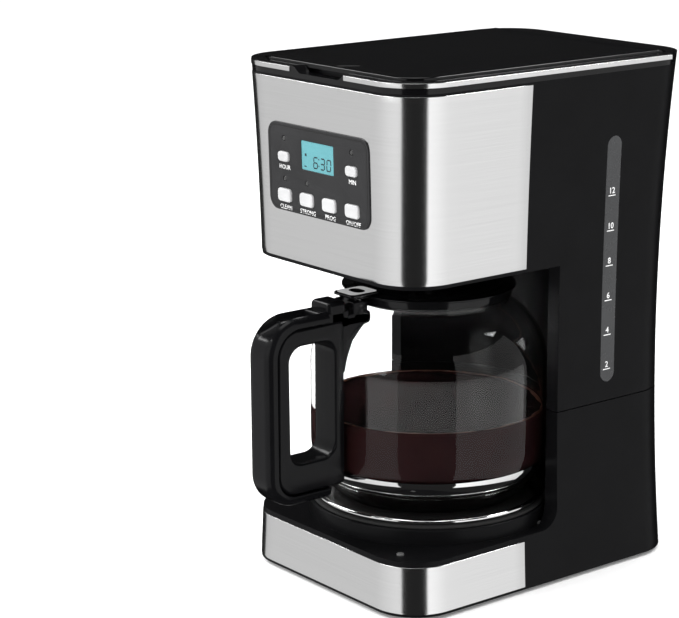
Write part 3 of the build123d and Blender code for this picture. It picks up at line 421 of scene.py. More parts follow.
class Nodes:
    """A small helper that adds and links shader nodes in one material."""

    def __init__(self, name: str) -> None:
        """Makes a material with one Principled shader."""
        self.material = bpy.data.materials.new(name)
        self.material.use_nodes = True
        self.tree = self.material.node_tree
        self.shader = self.tree.nodes["Principled BSDF"]

    def set(self, **values: object) -> "Nodes":
        """Sets the shader's own sockets.

        Args:
            values: each socket's name, with underscores for spaces, and its value.

        Returns:
            This helper.
        """
        for name, value in values.items():
            self.shader.inputs[name.replace("_", " ")].default_value = value
        return self

    def link(self, out: bpy.types.NodeSocket, name: str) -> "Nodes":
        """Links a socket into the shader.

        Args:
            out: the socket to read.
            name: the shader's socket.

        Returns:
            This helper.
        """
        self.tree.links.new(out, self.shader.inputs[name])
        return self

    def noise(self, scale: float, detail: float = 3.0,
              stretch: Sequence[float] = (1, 1, 1)) -> bpy.types.NodeSocket:
        """A noise over the piece's own coordinates.

        Args:
            scale: cycles per metre.
            detail: the noise's octaves.
            stretch: how the coordinates are scaled first.

        Returns:
            The noise's value.
        """
        place = self.tree.nodes.new("ShaderNodeTexCoord")
        mapping = self.tree.nodes.new("ShaderNodeMapping")
        mapping.inputs["Scale"].default_value = stretch
        texture = self.tree.nodes.new("ShaderNodeTexNoise")
        texture.inputs["Scale"].default_value = scale
        texture.inputs["Detail"].default_value = detail
        self.tree.links.new(place.outputs["Object"], mapping.inputs["Vector"])
        self.tree.links.new(mapping.outputs["Vector"], texture.inputs["Vector"])
        return texture.outputs["Fac"]

    def spread(self, value: bpy.types.NodeSocket, low: float, high: float) -> bpy.types.NodeSocket:
        """Maps a noise to another range.

        Args:
            value: the noise.
            low: the result at the lower end.
            high: the result at the upper end.

        Returns:
            The mapped value.
        """
        node = self.tree.nodes.new("ShaderNodeMapRange")
        for socket, number in zip(("From Min", "From Max", "To Min", "To Max"), (*NOISE_RANGE, low, high)):
            node.inputs[socket].default_value = number
        self.tree.links.new(value, node.inputs["Value"])
        return node.outputs["Result"]

    def shades(self, value: bpy.types.NodeSocket, dark: Sequence[float],
               light: Sequence[float]) -> bpy.types.NodeSocket:
        """Mixes two colours by a noise.

        Args:
            value: the noise.
            dark: the colour at the lower end.
            light: the colour at the upper end.

        Returns:
            The mixed colour.
        """
        ramp = self.tree.nodes.new("ShaderNodeValToRGB")
        for stop, place, colour in zip(ramp.color_ramp.elements, NOISE_RANGE, (dark, light)):
            stop.position = place
            stop.color = (*colour, 1)
        self.tree.links.new(value, ramp.inputs["Fac"])
        return ramp.outputs["Color"]

    def bump(self, value: bpy.types.NodeSocket, strength: float, depth: float) -> "Nodes":
        """Raises the surface by a value.

        Args:
            value: the height, from 0 to 1.
            strength: the bump's strength.
            depth: its height in millimetres.

        Returns:
            This helper.
        """
        node = self.tree.nodes.new("ShaderNodeBump")
        node.inputs["Strength"].default_value = strength
        node.inputs["Distance"].default_value = depth * MM
        self.tree.links.new(value, node.inputs["Height"])
        return self.link(node.outputs["Normal"], "Normal")


def near(colour: Sequence[float], share: float) -> tuple[float, ...]:
    """A colour made lighter or darker by a share."""
    return tuple(min(c * share, 1.0) for c in colour)


@dataclass(frozen=True)
class Plastic:
    """A moulded plastic: fine texture, slightly uneven gloss."""

    name: str
    colour: tuple[float, float, float]
    roughness: float = 0.4
    texture: float = 0.02
    coat: float = 0.0
    specular: float = 0.5

    def make(self) -> bpy.types.Material:
        """Makes the material.

        Returns:
            The material.
        """
        nodes = Nodes(self.name)
        cloud = nodes.noise(35.0, 4.0)
        nodes.link(nodes.shades(cloud, near(self.colour, 0.9), near(self.colour, 1.12)), "Base Color")
        grain = nodes.spread(nodes.noise(160.0, 5.0), self.roughness * 0.9, self.roughness * 1.12)
        nodes.link(grain, "Roughness")
        nodes.set(Coat_Weight=self.coat, Coat_Roughness=0.06, Specular_IOR_Level=self.specular)
        return nodes.bump(nodes.noise(2600.0, 2.0), 0.25, self.texture).material


@dataclass(frozen=True)
class Brushed:
    """Sheet metal with fine brushing."""

    name: str
    colour: tuple[float, float, float]
    roughness: float = 0.27
    grain: Grain = Grain.LEVEL
    depth: float = 0.002

    def make(self) -> bpy.types.Material:
        """Makes the material.

        Returns:
            The material.
        """
        nodes = Nodes(self.name)
        lines = nodes.noise(3600.0, 2.0, self.grain.value)
        cloud = nodes.noise(9.0, 2.0)
        nodes.link(nodes.shades(lines, near(self.colour, 0.965), near(self.colour, 1.02)), "Base Color")
        nodes.link(nodes.spread(cloud, self.roughness * 0.95, self.roughness * 1.08), "Roughness")
        nodes.set(Metallic=1.0)
        return nodes.bump(lines, 0.2, self.depth).material


@dataclass(frozen=True)
class Polished:
    """Bright metal with the faintest haze."""

    name: str
    colour: tuple[float, float, float]
    roughness: float = 0.06

    def make(self) -> bpy.types.Material:
        """Makes the material.

        Returns:
            The material.
        """
        nodes = Nodes(self.name)
        haze = nodes.noise(60.0, 3.0)
        nodes.link(nodes.shades(haze, near(self.colour, 0.96), near(self.colour, 1.03)), "Base Color")
        nodes.link(nodes.spread(haze, self.roughness * 0.7, self.roughness * 1.3), "Roughness")
        return nodes.set(Metallic=1.0).material


@dataclass(frozen=True)
class Clear:
    """A see-through solid: glass, a tinted window or a liquid."""

    name: str
    colour: tuple[float, float, float]
    roughness: float = 0.0
    ior: float = 1.47
    specular: float = 0.3
    haze: float = 0.02

    def make(self) -> bpy.types.Material:
        """Makes the material.

        Returns:
            The material.
        """
        nodes = Nodes(self.name)
        nodes.set(Base_Color=(*self.colour, 1), IOR=self.ior, Transmission_Weight=1.0,
                  Specular_IOR_Level=self.specular)
        smear = nodes.noise(45.0, 3.0)
        nodes.link(nodes.spread(smear, self.roughness, self.roughness + self.haze), "Roughness")
        return nodes.material


@dataclass(frozen=True)
class Coffee:
    """Dark liquid, red-brown where light gets into it."""

    name: str = "coffee"

    def make(self) -> bpy.types.Material:
        """Makes the material.

        Returns:
            The material.
        """
        nodes = Nodes(self.name)
        cloud = nodes.noise(18.0, 3.0)
        nodes.link(nodes.shades(cloud, (0.020, 0.007, 0.008), (0.034, 0.011, 0.011)), "Base Color")
        nodes.set(Roughness=0.25, IOR=1.33, Specular_IOR_Level=0.05)
        return nodes.material


@dataclass(frozen=True)
class Glow:
    """A lit display, and a surface made to glow as a painted highlight where no lamp is."""

    name: str
    colour: tuple[float, float, float]
    strength: float = 0.4

    def make(self) -> bpy.types.Material:
        """Makes the material.

        Returns:
            The material.
        """
        nodes = Nodes(self.name)
        cloud = nodes.noise(30.0, 2.0)
        nodes.link(nodes.shades(cloud, near(self.colour, 0.92), near(self.colour, 1.06)), "Base Color")
        nodes.set(Roughness=0.25, Emission_Color=(*self.colour, 1), Emission_Strength=self.strength)
        return nodes.material


@dataclass(frozen=True)
class WovenMesh:
    """Fine metal gauze: two crossed waves in the height and the colour."""

    name: str
    colour: tuple[float, float, float]

    def make(self) -> bpy.types.Material:
        """Makes the material.

        Returns:
            The material.
        """
        nodes = Nodes(self.name)
        place = nodes.tree.nodes.new("ShaderNodeTexCoord")
        weave = nodes.tree.nodes.new("ShaderNodeTexVoronoi")
        weave.distance = "CHEBYCHEV"
        weave.inputs["Scale"].default_value = 1400.0
        weave.inputs["Randomness"].default_value = 0.0
        nodes.tree.links.new(place.outputs["Object"], weave.inputs["Vector"])
        nodes.link(nodes.shades(weave.outputs["Distance"], near(self.colour, 0.2), self.colour), "Base Color")
        nodes.set(Metallic=1.0, Roughness=0.35)
        return nodes.bump(weave.outputs["Distance"], 0.6, 0.2).material


Finish = Plastic | Brushed | Polished | Clear | Coffee | Glow | WovenMesh


class Finishes:
    """Every finish of the object: TABLE by the record's slots, EXTRA for print, painted highlights and
    liquid.
    """

    TABLE: ClassVar[dict[str, Finish]] = {
        "housing": Plastic("housing_black", (0.0045, 0.0045, 0.005), 0.32, 0.012, 0.0, 0.08),
        "gloss_black": Plastic("gloss_black", (0.003, 0.003, 0.0034), 0.12, 0.003, 0.0, 0.34),
        "handle_black": Plastic("handle_black", (0.0035, 0.0035, 0.004), 0.2, 0.005, 0.0, 0.17),
        "inner_plastic": Plastic("inner_plastic", (0.022, 0.022, 0.024), 0.45, 0.02),
        "steel": Brushed("brushed_steel", (0.9, 0.9, 0.9), 0.16, Grain.LEVEL),
        "bright_trim": Brushed("bright_trim", (0.9, 0.9, 0.9), 0.14, Grain.LEVEL),
        "polished_band": Polished("polished_band", (0.95, 0.95, 0.95), 0.06),
        "fastener": Brushed("plated_steel", (0.5, 0.5, 0.5), 0.35, Grain.NONE),
        "rubber": Plastic("rubber", (0.014, 0.014, 0.014), 0.75, 0.03, 0.0, 0.3),
        "silicone": Plastic("silicone", (0.55, 0.53, 0.5), 0.55, 0.01),
        "tank": Plastic("tank_plastic", (0.34, 0.35, 0.36), 0.35, 0.01),
        "gauge": Plastic("gauge_smoke", (0.030, 0.031, 0.033), 0.26, 0.003, 0.3),
        "mesh": WovenMesh("filter_gauze", (0.75, 0.62, 0.36)),
        "enamel": Plastic("plate_enamel", (0.012, 0.012, 0.012), 0.2, 0.012, 0.3),
        "cast_aluminium": Brushed("cast_aluminium", (0.6, 0.6, 0.6), 0.5, Grain.NONE, 0.03),
        "circuit": Plastic("circuit_board", (0.02, 0.14, 0.05), 0.4, 0.01),
        "fascia": Plastic("fascia_grey", (0.020, 0.020, 0.021), 0.38, 0.01, 0.0, 0.25),
        "clear_window": Clear("display_window", (0.93, 0.97, 0.98), 0.02),
        "display": Glow("display_cell", (0.085, 0.27, 0.30), 0.12),
        "lamp": Plastic("lamp_lens", (0.03, 0.03, 0.03), 0.12, 0.002, 0.5),
        "carafe_glass": Clear("carafe_glass", (0.985, 0.992, 0.992), 0.0, 1.33, 0.1, 0.0),
        "key": Plastic("key_grey", (0.47, 0.47, 0.475), 0.34, 0.006),
    }
    EXTRA: ClassVar[dict[str, Finish]] = {
        "print_white": Plastic("print_white", (0.85, 0.85, 0.85), 0.5, 0.002),
        "light_grey": Plastic("light_grey", (0.09, 0.09, 0.09), 0.3, 0.004),
        # painted highlight: a glowing inlay that stands in for the bright reflection on the thumb plate
        "thumb_painted_highlight": Glow("thumb_painted_highlight", (0.62, 0.62, 0.62), 0.45),
        "digit_dark": Plastic("digit_dark", (0.008, 0.02, 0.025), 0.4, 0.002),
        "panel_line": Plastic("panel_line", (0.006, 0.006, 0.006), 0.3, 0.002),
        "coffee": Coffee(),
        # froth in a lighter red-brown, a colour that also paints the highlight along the coffee's edge
        "froth_and_highlight": Plastic("coffee_froth_and_highlight", (0.20, 0.085, 0.05), 0.5, 0.1),
    }

    def __init__(self) -> None:
        """Makes each material once."""
        self.made = {slot: finish.make() for slot, finish in {**self.TABLE, **self.EXTRA}.items()}

    def dress(self, piece: bpy.types.Object, slot: str) -> None:
        """Gives a piece one finish.

        Args:
            piece: the object.
            slot: the finish's name in TABLE or EXTRA.
        """
        piece.data.materials.clear()
        piece.data.materials.append(self.made[slot])


# ------------------------------------------------------------------ body form
@dataclass(frozen=True)
class Hourglass:
    """The body's plan at each height: a rounded rectangle, waisted like an hourglass."""

    heights: tuple[float, float, float] = (0.0, 111.0, 320.0)
    halves: tuple[float, float, float] = (84.6, 81.2, 85.2)
    fronts: tuple[float, float, float] = (-94.0, -91.9, -95.1)
    rears: tuple[float, float, float] = (136.0, 131.6, 138.0)
    corner: float = 30.0

    def curve(self, values: Sequence[float], z: np.ndarray) -> np.ndarray:
        """The parabola through three values at the three heights.

        Args:
            values: the values at those heights.
            z: the heights to read.

        Returns:
            The value at each height.
        """
        return np.polyval(np.polyfit(self.heights, values, 2), z)

    def path(self, z: np.ndarray, start: np.ndarray | float, rear: bool = False, inset: float = 0.0,
             face: np.ndarray | None = None) -> np.ndarray:
        """The outline round one end, from the right side to the left: a line, an arc, a line, an arc, a line.

        Args:
            z: the heights of the rows.
            start: where along Y each row starts and ends.
            rear: whether it goes round the rear instead of the front.
            inset: how far inside the outer face it lies.
            face: the places across the end face, from 1 at its right end to -1.

        Returns:
            Rows x columns x 3 places.
        """
        z = np.asarray(z, float)[:, None]
        sign = 1.0 if rear else -1.0
        half = self.curve(self.halves, z) - inset
        end = self.curve(self.rears if rear else self.fronts, z) - sign * inset
        start = np.broadcast_to(np.asarray(start, float).reshape(-1, 1), z.shape)
        return ended(half, end, start, sign, self.corner - inset, z, face)

    def ring(self, z: np.ndarray, inset: float = 0.0, start: float = 28.0,
             face: np.ndarray | None = None) -> np.ndarray:
        """The closed outline: the front path and then the rear path back.

        Args:
            z: the heights of the rows.
            inset: how far inside the outer face it lies.
            start: where along Y the two paths meet.
            face: the places across the front face.

        Returns:
            Rows x columns x 3 places.
        """
        front = self.path(z, start, False, inset, face)
        back = self.path(z, start, True, inset)[:, ::-1]
        return np.concatenate([front, back[:, 1:-1]], axis=1)


def ended(half: np.ndarray, end: np.ndarray, start: np.ndarray, sign: float, radius: float, z: np.ndarray,
          face: np.ndarray | None = None) -> np.ndarray:
    """One end of a rounded plan, as line, arc, line, arc and line.

    Args:
        half: the half width of each row.
        end: where the end face lies along Y.
        start: where the path starts and ends along Y.
        sign: -1 for the front, 1 for the rear.
        radius: the corner radius.
        z: the heights.
        face: the places across the end face.

    Returns:
        Rows x columns x 3 places.
    """
    face = np.linspace(1, -1, 25) if face is None else face
    turn = np.radians(np.linspace(0, 90, CORNER_POINTS))[None]
    centre_x, centre_y = half - radius, end - sign * radius
    t = np.linspace(0, 1, SIDE_POINTS)[None]
    line = (half + 0 * t, start + (centre_y - start) * t)
    bend = (centre_x + radius * np.cos(turn), centre_y + sign * radius * np.sin(turn))
    across = (centre_x * face[None], end + 0 * face[None])
    x, y = (np.hstack([line[axis][:, :-1], bend[axis][:, :-1], across[axis],
                       mirror * bend[axis][:, -2::-1], mirror * line[axis][:, -2::-1]])
            for axis, mirror in ((0, -1), (1, 1)))
    return np.stack([x, y, np.broadcast_to(z, x.shape)], axis=-1)


# ------------------------------------------------------------------ sub-assemblies
@dataclass
class SubAssembly:
    """Common ground of the sub-assemblies: places a finished piece on its body."""

    finishes: Finishes

    def place(self, piece: bpy.types.Object, body: str, slot: str, finish: str = "",
              replaces: Sequence[str] = ()) -> bpy.types.Object:
        """Dresses a piece, lets it ride and hides the nodes that it stands for.

        Args:
            piece: the finished object.
            body: the body that it moves with.
            slot: the record's material slot.
            finish: the finish, if not the slot's own.
            replaces: the nodes that it stands for.

        Returns:
            The piece.
        """
        self.finishes.dress(piece, finish or slot)
        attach(piece, body)
        if replaces:
            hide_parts(*replaces)
        LOG.info("%s on %s", piece.name, body)
        return piece


@dataclass
class Casing(SubAssembly):
    """The two housings, the steel bands and the feet."""

    form: Hourglass
    bay_edge: float = 28.0
    bay_foot: float = 13.0
    bay_radius: float = 79.5
    axis_y: float = AXIS_Y
    base_top: float = 37.0
    head_floor: float = 204.0
    waist: float = 111.0
    seam: float = 0.25
    bottom: float = 2.5
    top: float = 319.5
    wall: float = 2.6
    seat_outer: float = 77.0
    seat_inner: float = 70.0
    seat_top: float = 47.0
    outlet: float = 15.0
    band_proud: float = 0.3
    band_sheet: float = 0.8
    steel_rear: float = 0.0
    upper_band: tuple[float, float] = (206.2, 318.0)
    base_band: tuple[float, float] = (4.0, 33.6)
    panel_cut: tuple[float, float, float, float] = (-47.4, 46.0, 239.2, 288.6)
    stud_radius: float = 2.4
    stud_places: tuple[tuple[float, float], ...] = ((60.0, -80.5), (70.0, 24.0))
    foot_radius: float = 9.0
    edge: float = 1.1

    def build(self) -> None:
        """Builds and places every piece of the casing."""
        upper, lower = self.upper_housing(), self.lower_housing()
        self.place(upper, "machine", "housing", replaces=["upper_housing"])
        self.place(lower, "machine", "housing", replaces=["lower_housing"])
        for name, span, window in (("upper", self.upper_band, True), ("base", self.base_band, False)):
            band = self.band(f"{name}_steel", span, window)
            self.place(band, "machine", "steel", replaces=[f"{name}_steel_band"])
        self.place(self.feet(), "machine", "rubber", replaces=["rubber_feet"])
        self.place(self.studs(), "machine", "housing", "light_grey")

    def edge_at(self, z: np.ndarray) -> np.ndarray:
        """Where the column's front edge lies along Y: upright, with a quarter-round foot."""
        below = np.clip(self.base_top + self.bay_foot - z, 0, self.bay_foot)
        return self.bay_edge - self.bay_foot + np.sqrt(np.maximum(self.bay_foot ** 2 - below ** 2, 0))

    def niche(self, z: np.ndarray, edge: np.ndarray) -> np.ndarray:
        """The round wall behind the carafe: an arc from the right edge past the rear to the left edge.

        Args:
            z: the heights of the rows.
            edge: where along Y each row starts and ends.

        Returns:
            Rows x columns x 3 places.
        """
        begin = np.degrees(np.arcsin((edge - self.axis_y) / self.bay_radius))[:, None]
        angle = begin + (180 - 2 * begin) * np.linspace(0, 1, 41)[None]
        flat = polar(angle, self.bay_radius)
        points = np.empty((*flat.shape[:2], 3))
        points[..., 0], points[..., 1] = flat[..., 0], self.axis_y + flat[..., 1]
        points[..., 2] = z[:, None]
        return points

    def loop(self, z: float, edge: float) -> np.ndarray:
        """The bay's plan: the front of the body, the strips beside the carafe and the niche.

        Args:
            z: the height.
            edge: where along Y the strips lie.

        Returns:
            A ring of places.
        """
        height, start = np.array([z]), np.array([edge])
        front = self.form.path(height, start)[0]
        back = self.niche(height, start)[0][::-1]
        share = np.linspace(0, 1, 4)[1:-1, None]
        left = front[-1] + (back[0] - front[-1]) * share
        right = back[-1] + (front[0] - back[-1]) * share
        return np.vstack([front, left, back, right])

    def column(self, surface: Surface, z: np.ndarray) -> None:
        """Adds the column between two heights: its outside, its front strips and the niche.

        Args:
            surface: the surface to add to.
            z: the heights of the rows.
        """
        edge = self.edge_at(z)
        outside = self.form.path(z, edge, True)
        niche = self.niche(z, edge)
        surface.grid(outside).grid(niche)
        share = np.linspace(0, 1, 4)[None, :, None]
        for column in (0, -1):
            start, end = outside[:, column, None], niche[:, column, None]
            surface.grid(start + (end - start) * share)

    def floor_ring(self, surface: Surface, loop: np.ndarray, radius: float) -> np.ndarray:
        """Adds a level surface whose rows shrink evenly from the bay's loop to a circle.

        Args:
            surface: the surface to add to.
            loop: the bay's plan.
            radius: the circle's radius.

        Returns:
            The circle.
        """
        spoke = loop[:, :2] - [0, self.axis_y]
        circle = spoke / np.linalg.norm(spoke, axis=1)[:, None] * radius + [0, self.axis_y]
        circle = np.column_stack([circle, loop[:, 2]])
        share = np.linspace(0, 1, 7)[:, None, None]
        surface.grid(loop[None] + (circle - loop)[None] * share, close_cols=True)
        return circle

    def shell(self, surface: Surface, name: str, even: bool) -> bpy.types.Object:
        """Makes a housing of its outer surface, with a wall and rounded edges.

        Args:
            surface: the outer surface.
            name: the piece's name.
            even: whether the wall is as thick at corners.

        Returns:
            The housing.
        """
        piece = surface.build(name)
        solidify(piece, self.wall, even)
        bevel(piece, self.edge, 4)
        return piece

    def upper_housing(self) -> bpy.types.Object:
        """The head and the upper half of the column.

        Returns:
            The housing.
        """
        surface = Surface()
        low = np.linspace(self.waist + self.seam, self.head_floor, 16)
        high = np.linspace(self.head_floor, self.top, 20)
        self.column(surface, low)
        surface.grid(self.form.path(high, self.bay_edge)).grid(self.form.path(high, self.bay_edge, True))
        self.floor_ring(surface, self.loop(self.head_floor, self.bay_edge), self.outlet)
        return self.shell(surface, "upper_casing", True)

    def lower_housing(self) -> bpy.types.Object:
        """The base with its raised seat, and the lower half of the column.

        Returns:
            The housing.
        """
        surface = Surface()
        skirt = np.linspace(self.bottom, self.base_top, 7)
        rise = np.cos(np.radians(np.linspace(0, 90, 9)))
        foot = self.base_top + self.bay_foot * (1 - rise)
        upright = np.linspace(self.base_top + self.bay_foot, self.waist - self.seam, 12)
        column = np.concatenate([foot, upright[1:]])
        edge = self.bay_edge - self.bay_foot
        self.column(surface, column)
        surface.grid(self.form.path(skirt, edge)).grid(self.form.path(skirt, edge, True))
        circle = self.floor_ring(surface, self.loop(self.base_top, edge), self.seat_outer)
        spoke = (circle[:, :2] - [0, self.axis_y]) / self.seat_outer
        profile = soften([(self.seat_outer, self.base_top), (self.seat_outer, self.seat_top),
                          (self.seat_inner, self.seat_top), (self.seat_inner, self.base_top + 2)], 1.4)
        rings = np.empty((len(profile), len(circle), 3))
        rings[..., :2] = spoke[None] * profile[:, :1, None] + [0, self.axis_y]
        rings[..., 2] = profile[:, 1:]
        return self.shell(surface.grid(rings, close_cols=True), "lower_casing", False)

    def band(self, name: str, span: tuple[float, float], window: bool) -> bpy.types.Object:
        """A steel band round the front and sides.

        Args:
            name: the piece's name.
            span: its lowest and highest height.
            window: whether it is cut out behind the control panel.

        Returns:
            The band, with its sheet thickness.
        """
        left, right, low, high = self.panel_cut
        z, face, keep = np.linspace(*span, 28), np.linspace(1, -1, 25), None
        if window:
            level = 264.0
            flat = self.form.curve(self.form.halves, np.array([level]))[0] - self.form.corner
            face = np.concatenate([np.linspace(1, right / flat, 4), np.linspace(right, left, 14)[1:-1] / flat,
                                   np.linspace(left / flat, -1, 4)])
            z = np.concatenate([np.linspace(span[0], low, 9), np.linspace(low, high, 13)[1:-1],
                                np.linspace(high, span[1], 8)])
        points = self.form.path(z, self.steel_rear, False, -self.band_proud, face)
        if window:
            x, y, height = np.moveaxis((points[:-1, :-1] + points[1:, 1:]) / 2, -1, 0)
            front = y < self.form.fronts[1] + self.form.corner
            keep = ~(front & (x > left) & (x < right) & (height > low) & (height < high))
        piece = Surface().grid(points, keep=keep).build(name)
        solidify(piece, self.band_sheet)
        bevel(piece, 0.25, 2, 50)
        return piece

    def studs(self) -> bpy.types.Object:
        """Two small grey studs on the base's top: short turned domes.

        Returns:
            The studs, as one piece.
        """
        surface = Surface()
        top, radius = self.base_top, self.stud_radius
        corners = [(0.01, top - 0.5), (radius, top - 0.5), (radius, top + 1.1), (0.01, top + 1.4)]
        profile = soften(corners, 0.6)
        for x, y in self.stud_places:
            surface.add(lathe(profile, y, turns=24, axis_x=x))
        return surface.build("base_studs")

    def feet(self) -> bpy.types.Object:
        """Four rubber feet under the base: short turned pads with a chamfered sole.

        Returns:
            The feet, as one piece.
        """
        surface = Surface()
        low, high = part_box("rubber_feet")
        radius, top = self.foot_radius, self.bottom
        profile = soften([(0.01, 0), (radius - 1, 0), (radius, 1.0), (radius, top), (0.01, top)], 0.5)
        for x in (low.x / MM + radius, high.x / MM - radius):
            for y in (low.y / MM + radius, high.y / MM - radius):
                surface.add(lathe(profile, y, turns=40, axis_x=x))
        return surface.build("feet")


@dataclass
class Crown(SubAssembly):
    """The rim, its bright strip and the lid."""

    form: Hourglass
    base: float = 319.5
    top: float = 326.5
    half: float = 77.0
    front: float = -86.8
    rear: float = 122.0
    front_radius: float = 21.8
    rear_radius: float = 3.0
    notch_half: float = 25.0
    notch_floor: float = 322.6
    strip: tuple[float, float] = (322.9, 325.9)
    strip_rear: float = 116.0
    strip_proud: float = 0.35
    lid_gap: float = 0.8
    lid_top: float = 328.0
    lid_floor: float = 324.8
    hinge_y: float = 114.0
    hinge_z: float = 322.0
    hinge_radius: float = 6.0
    meet_y: float = 28.0
    notch_blend: float = 7.0

    def build(self) -> None:
        """Builds and places the rim, the strip and the lid."""
        self.place(self.rim(), "machine", "gloss_black", replaces=["top_rim"])
        self.place(self.bright_strip(), "machine", "bright_trim", replaces=["trim_strip"])
        self.place(self.lid(), "lid", "gloss_black", replaces=["lid"])
        self.place(self.barrel(), "lid", "gloss_black")
        self.place(self.pointer(), "lid", "gloss_black")

    def opening(self, z: np.ndarray, face: np.ndarray) -> np.ndarray:
        """The closed outline of the lid's opening: a rounded rectangle, the same at each height.

        Args:
            z: the heights of the rows.
            face: the places across the front face.

        Returns:
            Rows x columns x 3 places.
        """
        z = z[:, None]
        half, start = self.half + 0 * z, self.meet_y + 0 * z
        front = ended(half, self.front + 0 * z, start, -1.0, self.front_radius, z, face)
        back = ended(half, self.rear + 0 * z, start, 1.0, self.rear_radius, z)[:, ::-1]
        return np.concatenate([front, back[:, 1:-1]], axis=1)

    def rim(self) -> bpy.types.Object:
        """The rim: rings between the body's outline and the lid's opening, lower across the notch.

        The notch's ends follow the smooth step 3 t t - 2 t t t, with t from 0 to 1 over notch_blend.

        Returns:
            The rim.
        """
        span = self.half - self.front_radius
        share = self.notch_half / span
        inner = np.linspace(share, -share, 25)
        side = np.linspace(1, share, FACE_POINTS)
        face = np.concatenate([side, inner, -side[::-1]])
        z = np.array([self.base, self.top])
        outer, hole = self.form.ring(z, face=face), self.opening(z, face)
        crest_out, crest_in = outer[1].copy(), hole[1].copy()
        start = SIDE_POINTS + CORNER_POINTS + FACE_POINTS - 3
        near_end = np.clip((self.notch_half - np.abs(inner) * span) / self.notch_blend, 0, 1)
        dip = (self.top - self.notch_floor) * near_end ** 2 * (3 - 2 * near_end)
        for crest in (crest_out, crest_in):
            crest[start:start + len(inner), 2] = self.top - dip
        shelf = crest_in + (crest_out - crest_in) * 0.5
        rows = np.array([outer[0], crest_out, shelf, crest_in, hole[0]])
        piece = Surface().grid(rows, close_rows=True, close_cols=True).build("rim")
        bevel(piece, 0.7, 3)
        return piece

    def bright_strip(self) -> bpy.types.Object:
        """The strip round the rim: a small section carried along it, in two lengths that stop at the notch.

        Returns:
            The strip.
        """
        (low, high), proud, depth = self.strip, -self.strip_proud, 0.6
        section = soften([(depth, low), (proud, low), (proud, high), (depth, high)], 0.3, True, 4)
        share = (self.notch_half + 1) / (self.half - self.front_radius)
        surface = Surface()
        middle = np.array([(low + high) / 2])
        for side in (1, -1):
            rows = []
            for inset, height in section:
                path = self.form.path(middle, self.strip_rear, False, inset, np.linspace(1, share, 6))[0]
                length = path[:SIDE_POINTS + CORNER_POINTS + 6 - 2] * [side, 1, 1]
                length[:, 2] = height
                rows.append(length)
            rows = np.array(rows)
            surface.grid(rows, close_rows=True).cap(rows[:, 0]).cap(rows[:, -1])
        return surface.build("bright_strip")

    def lid_outline(self, inset: float) -> np.ndarray:
        """The lid's plan: a rectangle with two large corners in front and two small ones behind.

        Args:
            inset: how far it is moved inwards.

        Returns:
            A ring of points.
        """
        gap = self.lid_gap + inset
        half, front, rear = self.half - gap, self.front + gap, self.hinge_y - inset
        small, large = 2.0, max(self.front_radius - gap, 1)
        ring = rounded_outline(2 * half, rear - front, [small, small, large, large], 12)
        return ring + [0, (front + rear) / 2]

    def lid(self) -> bpy.types.Object:
        """The lid: a plate with a round edge, a narrow raised border and a faintly sunk field.

        Returns:
            The lid.
        """
        depth = self.lid_top - self.lid_floor
        side = [(1.0, 0.0), (0.2, 0.0), (0.0, 0.25)]
        fall = ((0.0, 1.0), (0.15, 0.5), (0.5, 0.12), (1.0, 0.0), (1.8, 0.0), (2.4, 0.1), (3.2, 0.45),
                (4.2, 0.55), (9.0, 0.55))
        profile = side + [(inset, depth - below) for inset, below in fall]
        return plate(self.lid_outline, profile, Matrix.Translation((0, 0, self.lid_floor))).build("lid_plate")

    def barrel(self) -> bpy.types.Object:
        """The round rear edge that the lid turns on: a turned bar laid along X.

        Returns:
            The bar.
        """
        half, radius = self.half - self.lid_gap, self.hinge_radius
        profile = soften([(0.01, -half), (radius, -half), (radius, half), (0.01, half)], 0.8)
        lying = Matrix(((0, 0, 1, 0), (1, 0, 0, self.hinge_y), (0, 1, 0, self.hinge_z), (0, 0, 0, 1)))
        return lathe(profile, 0.0, turns=56, matrix=lying).build("lid_barrel")

    def pointer(self) -> bpy.types.Object:
        """The small raised triangle on the lid that points to the notch.

        Returns:
            The triangle.
        """
        tip, base = self.front + 6.5, self.front + 18
        corners = np.array([(0, tip), (9, base), (-9, base)])
        middle = corners.mean(axis=0)
        outline = soften(corners, 1.2, True, 4)

        def shrink(inset: float) -> np.ndarray:
            """The triangle, drawn in towards its middle."""
            return middle + (outline - middle) * (1 - inset / 6)

        low = self.lid_top - 1.2
        profile = [(0.0, 0.0), (0.0, 0.75), (0.2, 0.95), (0.6, 1.0), (1.2, 1.0)]
        return plate(shrink, profile, Matrix.Translation((0, 0, low))).build("lid_pointer")


